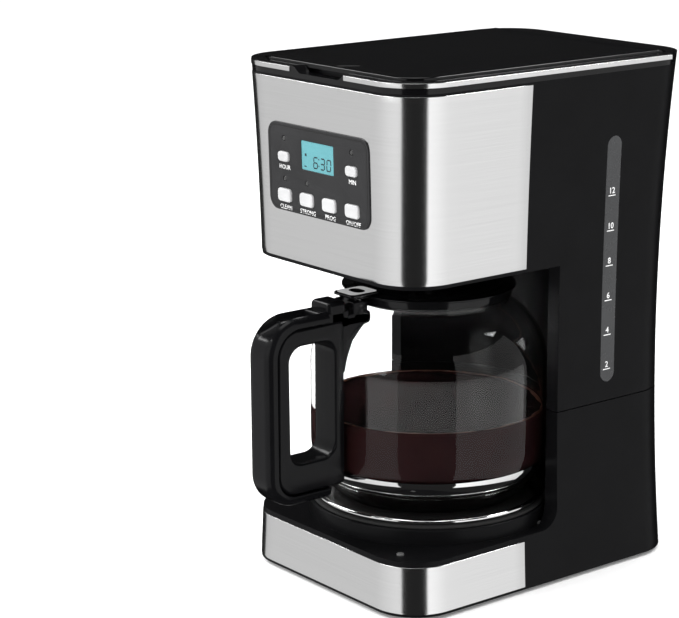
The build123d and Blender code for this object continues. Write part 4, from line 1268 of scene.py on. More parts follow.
@dataclass
class Panel(SubAssembly):
    """The control panel on the front: fascia, display, lamps, keys and their print."""

    x: float = -0.7
    y: float = -93.72
    z: float = 263.7
    lean: float = 1.45
    width: float = 98.0
    height: float = 54.5
    corner: float = 7.5
    proud: float = 0.75
    display: tuple[float, float] = (31.2, 17.8)
    display_rise: float = 9.9
    keys: tuple[tuple[str, float, float, float, float], ...] = (
        ("hour", -33.0, 6.5, 10.4, 6.2), ("minute", 33.0, 6.5, 10.4, 6.2),
        ("clean", -33.0, -17.4, 12.8, 8.2), ("strong", -11.0, -17.4, 12.8, 8.2),
        ("program", 11.0, -17.4, 12.8, 8.2), ("power", 33.0, -17.4, 12.8, 8.2))
    lamps: tuple[tuple[float, float], ...] = ((-33.0, 17.6), (33.0, 17.6), (-33.0, -7.3), (-11.0, -7.3))
    figure: tuple[float, float, float] = (1.8, 3.3, 0.8)
    figure_foot: float = 6.6
    figure_lean: float = 0.09
    word_size: float = 3.9

    def build(self) -> None:
        """Builds and places every piece of the panel."""
        self.place(self.fascia(), "machine", "fascia", replaces=["control_fascia"])
        self.place(self.outline(), "machine", "fascia", "panel_line")
        self.place(self.cell(), "machine", "display", replaces=["display_module", "display_window"])
        self.place(self.digits(), "machine", "display", "digit_dark")
        self.place(self.lenses(), "machine", "lamp", replaces=["indicator_lamps"])
        self.place(self.legends(), "machine", "fascia", "print_white")
        for name, *sizes in self.keys:
            self.place(self.key(f"{name}_cap", *sizes), f"{name}_key", "key", replaces=[f"{name}_button"])

    def at(self, across: float, up: float, out: float) -> Matrix:
        """A place on the panel, whose own axes run across, up and outwards."""
        turn = Matrix.Rotation(math.radians(90 + self.lean), 4, "X")
        return Matrix.Translation((self.x, self.y, self.z)) @ turn @ Matrix.Translation((across, up, out))

    def fascia(self) -> bpy.types.Object:
        """The panel's plate: a filled outline with a hole for the display and for each key and lamp.

        Returns:
            The plate.
        """
        curve = bpy.data.curves.new("fascia", "CURVE")
        curve.dimensions = "2D"
        curve.fill_mode = "BOTH"
        curve.extrude = 1.2 * MM
        curve.bevel_depth = 0.35 * MM
        curve.bevel_resolution = 2
        rings = [rounded_outline(self.width - 0.7, self.height - 0.7, [self.corner] * 4, 9)]
        for _, across, up, width, height in self.keys:
            rings.append(rounded_outline(width + 1.3, height + 1.3, [2.9] * 4, 6) + [across, up])
        for across, up in self.lamps:
            rings.append(polar(np.linspace(0, 360, 20, endpoint=False), 2.1) + [across, up])
        wide, tall = self.display
        rings.append(rounded_outline(wide + 0.7, tall + 0.7, [0.9] * 4, 4) + [0, self.display_rise])
        for ring in rings:
            spline = curve.splines.new("POLY")
            spline.points.add(len(ring) - 1)
            places = np.column_stack([ring * MM, np.zeros(len(ring)), np.ones(len(ring))])
            spline.points.foreach_set("co", places.ravel())
            spline.use_cyclic_u = True
        return flattened(curve, "fascia_plate", self.at(0, 0, self.proud - 1.55))

    def outline(self) -> bpy.types.Object:
        """The thin dark border just inside the panel's edge: two outlines joined over a low ridge.

        Returns:
            The border.
        """
        outer, inner = (rounded_outline(self.width - 2 * inset, self.height - 2 * inset,
                                        [self.corner - inset] * 4, 9) for inset in (1.5, 2.2))
        rows = np.array([np.column_stack([ring, np.full(len(ring), height)])
                         for ring, height in ((outer, 0.0), (outer, 0.12), (inner, 0.12), (inner, 0.0))])
        points = moved(rows, self.at(0, 0, self.proud - 0.05))
        return Surface().grid(points, close_rows=True, close_cols=True).build("panel_line")

    def cell(self) -> bpy.types.Object:
        """The lit display, just below the panel's face.

        Returns:
            The display.
        """
        profile = edge_profile(2.0, 0.2, 3)
        matrix = self.at(0, self.display_rise, self.proud - 2.3)
        return rounded_plate(self.display[0], self.display[1], 0.9, profile, matrix).build("display_cell")

    def digits(self) -> bpy.types.Object:
        """The clock's figures, each made of up to seven bars that lean a little, and two marks.

        Returns:
            The print, as one piece.
        """
        surface = Surface()
        for bars, place in (("afgedc", -2.2), ("abgcd", 4.6), ("abcdef", 10.6)):
            for bar in bars:
                self.bar(surface, bar, place)
        for up in (-2.4, 1.6):
            self.dab(surface, 1.25, up + self.display_rise - 2.4, 0.9, 0.9)
        self.dab(surface, -11.5, self.display_rise + 0.4, 1.6, 1.6)
        self.dab(surface, -12.0, self.display_rise - self.figure_foot, 2.2, 0.7)
        return surface.build("display_digits")

    def bar(self, surface: Surface, bar: str, place: float) -> None:
        """Adds one bar of a seven-bar figure.

        Args:
            surface: the surface to add to.
            bar: which bar, a to f clockwise from the top and g across the middle.
            place: the figure's middle, across the display.
        """
        half, rise, thick = self.figure
        layout = {"a": (0, 2), "g": (0, 1), "d": (0, 0),
                  "f": (-1, 1.5), "b": (1, 1.5), "e": (-1, 0.5), "c": (1, 0.5)}
        across, up = layout[bar][0] * half, layout[bar][1] * rise
        size = (thick, rise - 0.5) if across else (2 * half - 0.4, thick)
        foot = self.display_rise - self.figure_foot
        self.dab(surface, place + across + self.figure_lean * up, foot + up, *size)

    def dab(self, surface: Surface, across: float, up: float, width: float, height: float) -> None:
        """Adds one thin printed rectangle on the display.

        Args:
            surface: the surface to add to.
            across: its middle, across the panel.
            up: its middle, up the panel.
            width: its size across.
            height: its size upwards.
        """
        profile = [(0.12, 0.0), (0.0, 0.02), (0.0, 0.05), (0.05, 0.07)]
        surface.add(rounded_plate(width, height, 0.2, profile, self.at(across, up, self.proud - 0.31)))

    def lenses(self) -> bpy.types.Object:
        """The four lamps' round lenses: small turned domes.

        Returns:
            The lenses, as one piece.
        """
        surface = Surface()
        profile = soften([(0.01, 0.0), (1.6, 0.0), (1.6, 1.5), (1.0, 1.9), (0.01, 2.0)], 0.4)
        for across, up in self.lamps:
            surface.add(lathe(profile, 0.0, turns=24, matrix=self.at(across, up, self.proud - 1.9)))
        return surface.build("lamp_lenses")

    def key(self, name: str, across: float, up: float, width: float, height: float) -> bpy.types.Object:
        """One key's cap: a rounded pillow with a shallow dish.

        Args:
            name: the piece's name.
            across: its middle, across the panel.
            up: its middle, up the panel.
            width: its size across.
            height: its size upwards.

        Returns:
            The cap.
        """
        depth = 3.4
        profile = edge_profile(depth, 0.9, 5) + [(1.9, depth + 0.02), (2.6, depth - 0.1)]
        matrix = self.at(across, up, self.proud + 1.3 - depth)
        return rounded_plate(width, height, 2.3, profile, matrix).build(name)

    def legends(self) -> bpy.types.Object:
        """Each key's plain function name, printed under it.

        Returns:
            The words, as one piece.
        """
        words = ("HOUR", "MIN", "CLEAN", "STRONG", "PROG", "ON/OFF")
        parts = []
        for word, (name, across, up, _, height) in zip(words, self.keys):
            matrix = self.at(across + 0.6, up - height / 2 - 4.6, self.proud + 0.03)
            parts.append(flattened(lettering(word, self.word_size, 0.04, 2), f"{name}_word", matrix))
        return joined(parts, "panel_legends")


def lettering(text: str, size: float, raised: float, steps: int) -> bpy.types.Curve:
    """Makes centred lettering.

    Args:
        text: what it says.
        size: the height of its line.
        raised: how far it stands up on either side.
        steps: the points between two points of a letter's curve.

    Returns:
        The text's data, in metres.
    """
    data = bpy.data.curves.new("lettering", "FONT")
    data.body, data.align_x, data.resolution_u = text, "CENTER", steps
    data.size, data.extrude = size * MM, raised * MM
    return data


def flattened(curve: bpy.types.Curve, name: str, matrix: Matrix) -> bpy.types.Object:
    """Makes a curve or text into a mesh piece and carries it to its place.

    Args:
        curve: the curve data, in metres.
        name: the piece's name.
        matrix: its place, in millimetres.

    Returns:
        The mesh object, at the origin.
    """
    holder = linked(curve, name)
    bpy.context.view_layer.update()
    mesh = bpy.data.meshes.new_from_object(holder.evaluated_get(bpy.context.evaluated_depsgraph_get()))
    bpy.data.objects.remove(holder)
    place = matrix.copy()
    place.translation *= MM
    mesh.transform(place)
    work = bmesh.new()
    work.from_mesh(mesh)
    bmesh.ops.remove_doubles(work, verts=work.verts, dist=WELD)
    bmesh.ops.recalc_face_normals(work, faces=work.faces)
    work.to_mesh(mesh)
    work.free()
    return smooth(linked(mesh, name))


@dataclass
class Gauge(SubAssembly):
    """The water gauge on the right side, with its scale."""

    form: Hourglass
    y: float = 70.5
    width: float = 12.0
    low: float = 123.5
    high: float = 280.0
    proud: float = 0.35
    first: float = 134.8
    step: float = 22.2
    marks: int = 6
    number_size: float = 5.2

    def build(self) -> None:
        """Builds and places the window and its scale."""
        self.place(self.window(), "machine", "gauge", replaces=["gauge_window"])
        self.place(self.scale(), "machine", "gauge", "print_white")

    def surface_x(self, z: np.ndarray) -> np.ndarray:
        """How far out the side of the body is at a height."""
        return self.form.curve(self.form.halves, z)

    def window(self) -> bpy.types.Object:
        """The window: at each height a shallow arch across the slot, closed behind, narrowing at both ends.

        The arch rises by the square root of 1 - u u u u, with u from -1 to 1 across the slot.

        Returns:
            The window.
        """
        half, reach, deep = self.width / 2, (self.high - self.low) / 2, 1.2
        turn = np.radians(np.linspace(2, 90, 10))
        end = reach - half + half * np.cos(turn)
        along = np.concatenate([-end, np.linspace(-(reach - half), reach - half, 40)[1:-1], end[::-1]])
        wide = half * np.concatenate([np.sin(turn), np.ones(38), np.sin(turn)[::-1]])
        across = np.sin(np.radians(np.linspace(-90, 90, 15)))
        arch = self.proud * np.sqrt(np.maximum(1 - across ** 4, 0))
        height = (self.low + self.high) / 2 + along
        out = self.surface_x(height)[:, None]
        points = np.empty((len(height), 17, 3))
        points[:, :15, 0] = out + arch[None]
        points[:, 15:, 0] = out - deep
        points[:, :15, 1] = self.y + wide[:, None] * across[None]
        points[:, 15:, 1] = self.y + wide[:, None] * np.array([[1.0, -1.0]])
        points[..., 2] = height[:, None]
        surface = Surface().grid(points, close_cols=True).cap(points[0]).cap(points[-1])
        return surface.build("gauge_window_pane")

    def scale(self) -> bpy.types.Object:
        """The even numbers from two up, each with a short line under it.

        Returns:
            The scale, as one piece.
        """
        parts = []
        turn = Matrix.Rotation(math.radians(90), 4, "Z") @ Matrix.Rotation(math.radians(90), 4, "X")
        for mark in range(self.marks):
            z = self.first + mark * self.step
            x = float(self.surface_x(np.array([z + 2.0]))[0]) + self.proud + 0.06
            number = lettering(str(2 * (mark + 1)), self.number_size, 0.05, 3)
            number.offset = 0.06 * MM
            matrix = Matrix.Translation((x, self.y - 1.0, z - 1.6)) @ turn
            parts.append(flattened(number, f"number_{mark}", matrix))
            line = rounded_box((x - 0.1, self.y - 4.0, z - 3.3), (x + 0.06, self.y + 2.0, z - 2.7), 0.05, 2)
            parts.append(line.build(f"line_{mark}"))
        return joined(parts, "gauge_scale")


def joined(parts: Sequence[bpy.types.Object], name: str) -> bpy.types.Object:
    """Joins several plain meshes into one piece.

    Args:
        parts: the objects, which are used up.
        name: the piece's name.

    Returns:
        The piece, at the origin.
    """
    work = bmesh.new()
    for part in parts:
        work.from_mesh(part.data)
        bpy.data.objects.remove(part)
    mesh = bpy.data.meshes.new(name)
    work.to_mesh(mesh)
    work.free()
    return linked(mesh, name)


@dataclass
class Hotplate(SubAssembly):
    """The warming plate, its bright edge and its seal."""

    axis_y: float = AXIS_Y
    radius: float = 73.0
    top: float = 52.0
    seat: float = 47.0
    seal: float = 2.0
    seal_radii: tuple[float, float] = (70.5, 75.5)

    def build(self) -> None:
        """Builds and places the plate, the seal and the edge."""
        self.place(self.warmer(), "machine", "enamel", replaces=["warming_plate"])
        self.place(self.ring(), "machine", "silicone", "rubber", replaces=["plate_seal"])
        self.place(self.trim(), "machine", "enamel", "polished_band")

    def warmer(self) -> bpy.types.Object:
        """The plate: a turned disc with a rolled edge and two shallow rings.

        Returns:
            The plate.
        """
        r, top, low = self.radius, self.top, self.seat + self.seal
        corners = [(0.01, top - 0.3), (20, top - 0.3), (21, top - 0.6), (22, top - 0.3), (54, top - 0.3),
                   (58, top - 0.05), (r - 4, top - 0.05), (r, top - 0.6), (r, low), (r - 1.6, low),
                   (r - 2, top - 1.8), (0.01, top - 1.9)]
        profile = soften(corners, 1.2)
        return lathe(profile, self.axis_y, turns=128).build("warming_surface")

    def trim(self) -> bpy.types.Object:
        """The bright rolled edge round the plate.

        Returns:
            The edge.
        """
        r, top = self.radius, self.top
        profile = soften([(r - 2.6, top - 0.6), (r - 2.2, top), (r - 0.8, top), (r + 0.35, top - 0.9),
                          (r + 0.35, top - 2.0), (r - 1.0, top - 2.0)], 0.5, True)
        return lathe(profile, self.axis_y, True, 144).build("plate_trim")

    def ring(self) -> bpy.types.Object:
        """The soft ring under the plate's edge.

        Returns:
            The ring.
        """
        (inner, outer), low, high = self.seal_radii, self.seat, self.seat + self.seal
        profile = soften([(inner, low), (outer, low), (outer, high), (inner, high)], 0.9, True)
        return lathe(profile, self.axis_y, True, 128).build("plate_gasket")


@dataclass
class Carafe(SubAssembly):
    """The jug with its foot band, collar, coffee and lid."""

    axis_y: float = AXIS_Y
    radius: float = 75.2
    wall: float = 2.4
    foot_z: float = 52.2
    heel_z: float = 86.0
    heel: float = 44.7
    shoulder_z: float = 134.0
    shoulder: float = 46.1
    neck: float = 50.5
    neck_top: float = 182.0
    band: tuple[float, float] = (65.8, 75.5)
    collar: tuple[float, float] = (178.0, 184.0)
    coffee_top: float = 107.5
    lid_z: tuple[float, float] = (184.2, 186.2)
    lid_radius: float = 55.0
    lever_half: float = 10.0
    lever: tuple[float, float] = (-77.5, -53.5)
    lever_thick: float = 1.8

    def build(self) -> None:
        """Builds and places every piece of the carafe."""
        self.place(self.jug(), "carafe", "carafe_glass", replaces=["carafe_glass"])
        self.place(self.foot_band(), "carafe", "polished_band", replaces=["carafe_foot_band"])
        self.place(self.neck_ring(), "carafe", "gloss_black", replaces=["carafe_collar"])
        self.place(self.brew(), "carafe", "carafe_glass", "coffee")
        # the froth ring's lighter colour also paints the highlight along the coffee's edge
        self.place(self.froth_and_highlight_ring(), "carafe", "carafe_glass", "froth_and_highlight")
        self.place(self.cover(), "carafe_lid", "gloss_black", replaces=["carafe_lid"])
        self.place(self.thumb(), "carafe_lid", "gloss_black", replaces=["thumb_lever"])
        # this inlay glows as a painted highlight, in place of the thumb plate's bright reflection
        self.place(self.inlay(17.4, 21.0, 3.4, 0.0), "carafe_lid", "gloss_black", "thumb_painted_highlight")
        self.place(self.inlay(11.5, 8.0, 3.9, 0.18), "carafe_lid", "gloss_black")

    def side(self, offset: float, low: float, high: float) -> np.ndarray:
        """The glass's outline, moved inwards: heel arc, straight barrel, shoulder arc, neck.

        Args:
            offset: how far it is moved inwards.
            low: the height where it starts.
            high: the height where it ends.

        Returns:
            Rows of radius and height.
        """
        heel, shoulder = self.heel - offset, self.shoulder - offset
        heel_r, shoulder_r = self.radius - self.heel, self.radius - self.shoulder
        start = -math.degrees(math.asin(min((self.heel_z - low) / heel, 1)))
        end = math.degrees(math.acos((self.neck - offset - shoulder_r) / shoulder))
        lower = arc((heel_r, self.heel_z), heel, start, 0, 16)
        upper = arc((shoulder_r, self.shoulder_z), shoulder, 0, end, 18)
        lip = [(self.neck - offset, high)]
        return np.vstack([lower, np.array([[self.radius - offset, z] for z in (98, 110, 122)]), upper, lip])

    def jug(self) -> bpy.types.Object:
        """The glass: its outer line up, a round lip, and its inner line back down, turned.

        Returns:
            The glass.
        """
        outer = self.side(0, self.foot_z, self.neck_top - 1.2)
        inner = self.side(self.wall, self.foot_z + self.wall, self.neck_top - 1.2)[::-1]
        lip = arc((self.neck - self.wall / 2, self.neck_top - 1.2), self.wall / 2, 0, 180, 7)[1:-1]
        (edge, floor), foot = inner[-1], self.foot_z
        base_in = [(edge - 4, floor + 0.3), (20, floor + 1.5), (0.01, floor + 1.8)]
        base_out = [(0.01, foot + 2.2), (24, foot + 1.8), (outer[0][0] - 6, foot + 0.5)]
        profile = np.vstack([base_out, outer, lip, inner, base_in])
        return lathe(profile, self.axis_y, turns=144).build("jug")

    def foot_band(self) -> bpy.types.Object:
        """The polished band that grips the heel of the glass: a section swollen by a root of a sine, turned.

        Returns:
            The band.
        """
        line = self.side(-0.05, self.foot_z, self.neck_top)
        line = line[(line[:, 1] > self.band[0] - 4) & (line[:, 1] < self.band[1] + 4)]
        height = np.linspace(*self.band, 9)
        radius = np.interp(height, line[:, 1], line[:, 0])
        swell = 0.9 * np.sin(np.linspace(0, np.pi, 9)) ** 0.5
        outer = np.column_stack([radius + swell, height])
        inner = np.column_stack([radius, height])[::-1]
        return lathe(np.vstack([outer, inner[1:-1]]), self.axis_y, True, 144).build("foot_band")

    def neck_ring(self) -> bpy.types.Object:
        """The collar round the neck, with a soft outer edge and a lower lip.

        Returns:
            The collar.
        """
        r, (low, high), thick = self.neck + 0.05, self.collar, 2.4
        corners = [(r, low), (r + 1.6, low), (r + thick, low + 1.6), (r + thick, high), (r, high)]
        profile = soften(corners, 0.8, True)
        return lathe(profile, self.axis_y, True, 128).build("neck_collar")

    def brew(self) -> bpy.types.Object:
        """The coffee: the inside of the glass from the foot band up to its level, with a curled edge.

        Returns:
            The coffee.
        """
        line = self.side(self.wall - 0.15, self.foot_z + self.wall - 0.1, self.neck_top)
        line = line[(line[:, 1] < self.coffee_top - 1.2) & (line[:, 1] > self.band[0] - 1.5)]
        edge = self.radius - self.wall + 0.15
        curl = ((edge, 0.0), (edge - 0.6, 0.7), (edge - 2.4, 1.1), (edge - 8, 1.2), (0.01, 1.2))
        top = [(radius, self.coffee_top - below) for radius, below in curl]
        foot, floor = line[0]
        base = [(0.01, floor + 1.9), (20, floor + 1.6), (foot - 4, floor + 0.35)]
        return lathe(np.vstack([base, line, top]), self.axis_y, turns=128).build("coffee_fill")

    def froth_and_highlight_ring(self) -> bpy.types.Object:
        """The ring of bubbles at the glass, lighter than the coffee so that it also paints the highlight
        along the coffee's edge: an ellipse carried round, its width a sum of three sines.

        Returns:
            The ring.
        """
        radius, level = self.radius - self.wall - 0.3, self.coffee_top - 0.6
        angle = np.linspace(0, 2 * np.pi, 180, endpoint=False)
        turn = np.radians(np.linspace(0, 360, 8, endpoint=False))
        wide = 1.1 + 0.35 * np.sin(7 * angle) + 0.3 * np.sin(13 * angle + 1.0) + 0.2 * np.sin(29 * angle)
        ring_r = radius - wide[None] * (1 + np.cos(turn))[:, None]
        points = np.stack([ring_r * np.cos(angle), self.axis_y + ring_r * np.sin(angle),
                           level + 0.35 * np.sin(turn)[:, None] + 0 * angle], axis=-1)
        return Surface().grid(points, close_rows=True, close_cols=True).build("coffee_froth_highlight_ring")

    def cover(self) -> bpy.types.Object:
        """The lid: flange, low dome with a stepped ring, plug in the neck, and the tab to its lever.

        Returns:
            The lid.
        """
        (low, high), r, plug, half = self.lid_z, self.lid_radius, self.neck - 3.5, 8
        corners = [(0.01, high + 1.1), (9, high + 1.1), (20, high + 0.7), (r - 8, high + 0.1),
                   (r - 6.5, high - 0.6), (r - 1.4, high - 0.7), (r, low + 0.9), (r, low), (plug, low),
                   (plug, low - 8), (plug - 2, low - 8), (plug - 2, low - 1.4), (0.01, low - 1.4)]
        profile = soften(corners, 0.7)
        turned = lathe(profile, self.axis_y, turns=128).build("lid_turned")
        front, rear = self.lever
        tab = rounded_box((-half, front + 4, low), (half, rear + 1, high - 0.6), 0.7).build("lid_tab")
        return smooth(joined([turned, tab], "jug_lid"))

    def inlay(self, width: float, length: float, corner: float, lift: float) -> bpy.types.Object:
        """A thin plate let into the thumb plate's top.

        Args:
            width: its size across.
            length: its size along Y.
            corner: its corner radius.
            lift: how far it stands above the plate's own top.

        Returns:
            The piece.
        """
        sunk = 0.9
        middle = Matrix.Translation((0, sum(self.lever) / 2, self.lid_z[1] + self.lever_thick - sunk + lift))
        return rounded_plate(width, length, corner, edge_profile(0.95, 0.25, 3), middle).build("thumb_inlay")

    def thumb(self) -> bpy.types.Object:
        """The thumb plate, rounded, on its web and knuckle.

        Returns:
            The lever.
        """
        high, half = self.lid_z[1], self.lever_half
        front, rear = self.lever
        profile = edge_profile(self.lever_thick, 0.8, 5)
        matrix = Matrix.Translation((0, (front + rear) / 2, high))
        pad = rounded_plate(2 * half, rear - front, 4.0, profile, matrix).build("thumb_pad")
        knuckle = rounded_box((-7.6, -73.2, 177.6), (7.6, -66.8, 184.0), 3.0, 7).build("thumb_knuckle")
        web = rounded_box((-5, -72.8, 182), (5, -71.2, high + 0.4), 0.4).build("thumb_web")
        return smooth(joined([pad, knuckle, web], "thumb_plate"))


@dataclass
class Handle(SubAssembly):
    """The carafe's handle: an outer shell with a trough on top, and the inner loop."""

    half: float = 11.4
    front: float = -141.0
    top: float = 181.0
    bottom: float = 63.5
    top_radius: float = 24.0
    bottom_radius: float = 20.0
    shell: float = 6.6
    gap: float = 0.35
    seam_y: float = -95.0
    back: float = -84.0
    grip: tuple[float, float, float, float] = (-124.8, -90.5, 89.5, 163.0)
    grip_radius: float = 10.0
    edge: float = 5.4
    trough: tuple[float, float] = (7.4, 5.4)
    shoulder: tuple[float, float, float] = (29.1, 134.0, 46.9)

    def build(self) -> None:
        """Builds and places the shell, the loop and the bracket."""
        self.place(self.outer_shell(), "carafe", "handle_black", replaces=["handle_shell"])
        self.place(self.loop(), "carafe", "handle_black", replaces=["handle_frame"])
        self.place(self.bracket(), "carafe", "handle_black")

    def spine(self) -> tuple[np.ndarray, np.ndarray]:
        """The outer line of the handle in the side view, and its outward directions.

        Returns:
            The points and the unit normals, each a table of Y and Z.
        """
        high = (self.front + self.top_radius, self.top - self.top_radius)
        low = (self.front + self.bottom_radius, self.bottom + self.bottom_radius)
        over = np.column_stack([np.linspace(self.seam_y, high[0], 10), np.full(10, self.top)])
        upper = arc(high, self.top_radius, 90, 180, 18)
        down = np.column_stack([np.full(14, self.front), np.linspace(high[1], low[1], 14)])
        lower = arc(low, self.bottom_radius, 180, 270, 16)
        under = np.column_stack([np.linspace(low[0], self.seam_y, 8), np.full(8, self.bottom)])
        points = np.vstack([over[:-1], upper, down[1:-1], lower, under[1:]])
        normals = np.vstack([np.tile([0.0, 1.0], (9, 1)), arc((0, 0), 1, 90, 180, 18),
                             np.tile([-1.0, 0.0], (12, 1)), arc((0, 0), 1, 180, 270, 16),
                             np.tile([0.0, -1.0], (7, 1))])
        return points, normals

    def outer_shell(self) -> bpy.types.Object:
        """The shell: a rounded section carried along the outer line, sunk along the top for the trough.

        The trough's sides follow 1 - u to the sixth power, and its end the smooth step 3 t t - 2 t t t.

        Returns:
            The shell.
        """
        line, normal = self.spine()
        width, round_edge = self.half, self.edge
        trough_half, trough_depth = self.trough
        upper = arc((width - round_edge, -round_edge), round_edge, 0, 90, 6)
        flat = np.linspace(width - round_edge, -(width - round_edge), 13)[1:-1]
        outer = np.vstack([upper, np.column_stack([flat, np.zeros(11)]), upper[::-1] * [-1, 1]])
        inner = np.array([[-width, -self.shell + 0.5], [-width + 0.5, -self.shell], [0, -self.shell],
                          [width - 0.5, -self.shell], [width, -self.shell + 0.5]])
        section = np.vstack([outer, inner])
        start, reach = self.top - 0.62 * self.top_radius, 0.55 * self.top_radius
        open_top = np.clip((line[:, 1] - start) / reach, 0, 1)
        open_top = open_top * open_top * (3 - 2 * open_top)
        across = np.clip(1 - (np.abs(section[:, 0]) / trough_half) ** 6, 0, 1) * (section[:, 1] > -0.5)
        sink = trough_depth * open_top[:, None] * across[None]
        depth = section[None, :, 1] - sink
        points = np.empty((len(line), len(section), 3))
        points[..., 0] = section[None, :, 0]
        points[..., 1] = line[:, :1] + normal[:, :1] * depth
        points[..., 2] = line[:, 1:] + normal[:, 1:] * depth
        return Surface().grid(points, close_cols=True).cap(points[0]).cap(points[-1]).build("grip_shell", 40)

    def loop(self) -> bpy.types.Object:
        """The inner loop: rings between the shell's inner line and the finger gap, rounded on all four edges.

        Returns:
            The loop.
        """
        inset = self.shell + self.gap
        width, height = self.back - self.front - inset, self.top - self.bottom - 2 * inset
        centre = np.array([(self.front + inset + self.back) / 2, (self.top + self.bottom) / 2])
        radii = [2.0, self.top_radius - inset, self.bottom_radius - inset, 2.0]
        outer = rounded_outline(width, height, radii, 12) + centre
        low_y, high_y, low_z, high_z = self.grip
        hole = rounded_outline(high_y - low_y, high_z - low_z, [self.grip_radius] * 4, 12)
        hole = hole + [(low_y + high_y) / 2, (low_z + high_z) / 2]
        half, edge = self.half - 0.5, 2.6
        turn = np.radians(np.linspace(0, 90, 6))
        bend = [(edge * (1 - math.cos(a)), half - edge + edge * math.sin(a)) for a in turn]
        span = np.linalg.norm(outer - hole, axis=1)
        rows = []
        for near_in, sign in ((True, 1), (False, 1), (False, -1), (True, -1)):
            steps = bend if (near_in == (sign > 0)) else bend[::-1]
            for inward, x in steps:
                share = inward / span if near_in else 1 - inward / span
                flat = hole + (outer - hole) * share[:, None]
                rows.append(np.column_stack([np.full(len(flat), sign * x), flat]))
        return Surface().grid(np.array(rows), close_rows=True, close_cols=True).build("grip_loop", 40)

    def gusset(self) -> bpy.types.Object:
        """The web between the leg and the neck: its rear edge is an arc along the glass's shoulder.

        Returns:
            The web.
        """
        angle = np.radians(np.linspace(8, 56, 14))
        centre, height, radius = self.shoulder
        y = AXIS_Y - (centre + radius * np.cos(angle))
        shoulder = np.column_stack([y, height + radius * np.sin(angle)])
        front = [(-62.2, 176.4), (-76.0, 177.4), (-90.0, 176.5), (-90.4, 160.0), (-90.4, 138.0)]
        side = np.vstack([shoulder, front])
        rows = []
        middle = side.mean(axis=0)
        for x, inset in ((-9.6, 1.6), (-9.1, 0.5), (-8.2, 0.0), (8.2, 0.0), (9.1, 0.5), (9.6, 1.6)):
            away = side - middle
            ring = side - away / np.linalg.norm(away, axis=1)[:, None] * inset
            rows.append(np.column_stack([np.full(len(ring), x), ring]))
        rows = np.array(rows)
        return Surface().grid(rows, close_cols=True).cap(rows[0]).cap(rows[-1]).build("gusset")

    def bracket(self) -> bpy.types.Object:
        """The bracket between the handle and the collar, with its hump and two ears.

        Returns:
            The bracket.
        """
        half, inside = 9.6, 7.9
        boxes = (((-half, -101, 168), (half, -78, 180.6), 2.0, 5),
                 ((-half, -95, 170), (half, -80, 186), 3.4, 7),
                 ((-half, -84, 168.5), (half, -61.5, 176.5), 2.0, 5),
                 ((-half, -75.5, 172), (-inside, -64.5, 183.6), 0.8, 5),
                 ((inside, -75.5, 172), (half, -64.5, 183.6), 0.8, 5))
        parts = [rounded_box(*box).build("block") for box in boxes]
        return smooth(joined([*parts, self.gusset()], "handle_bracket"))


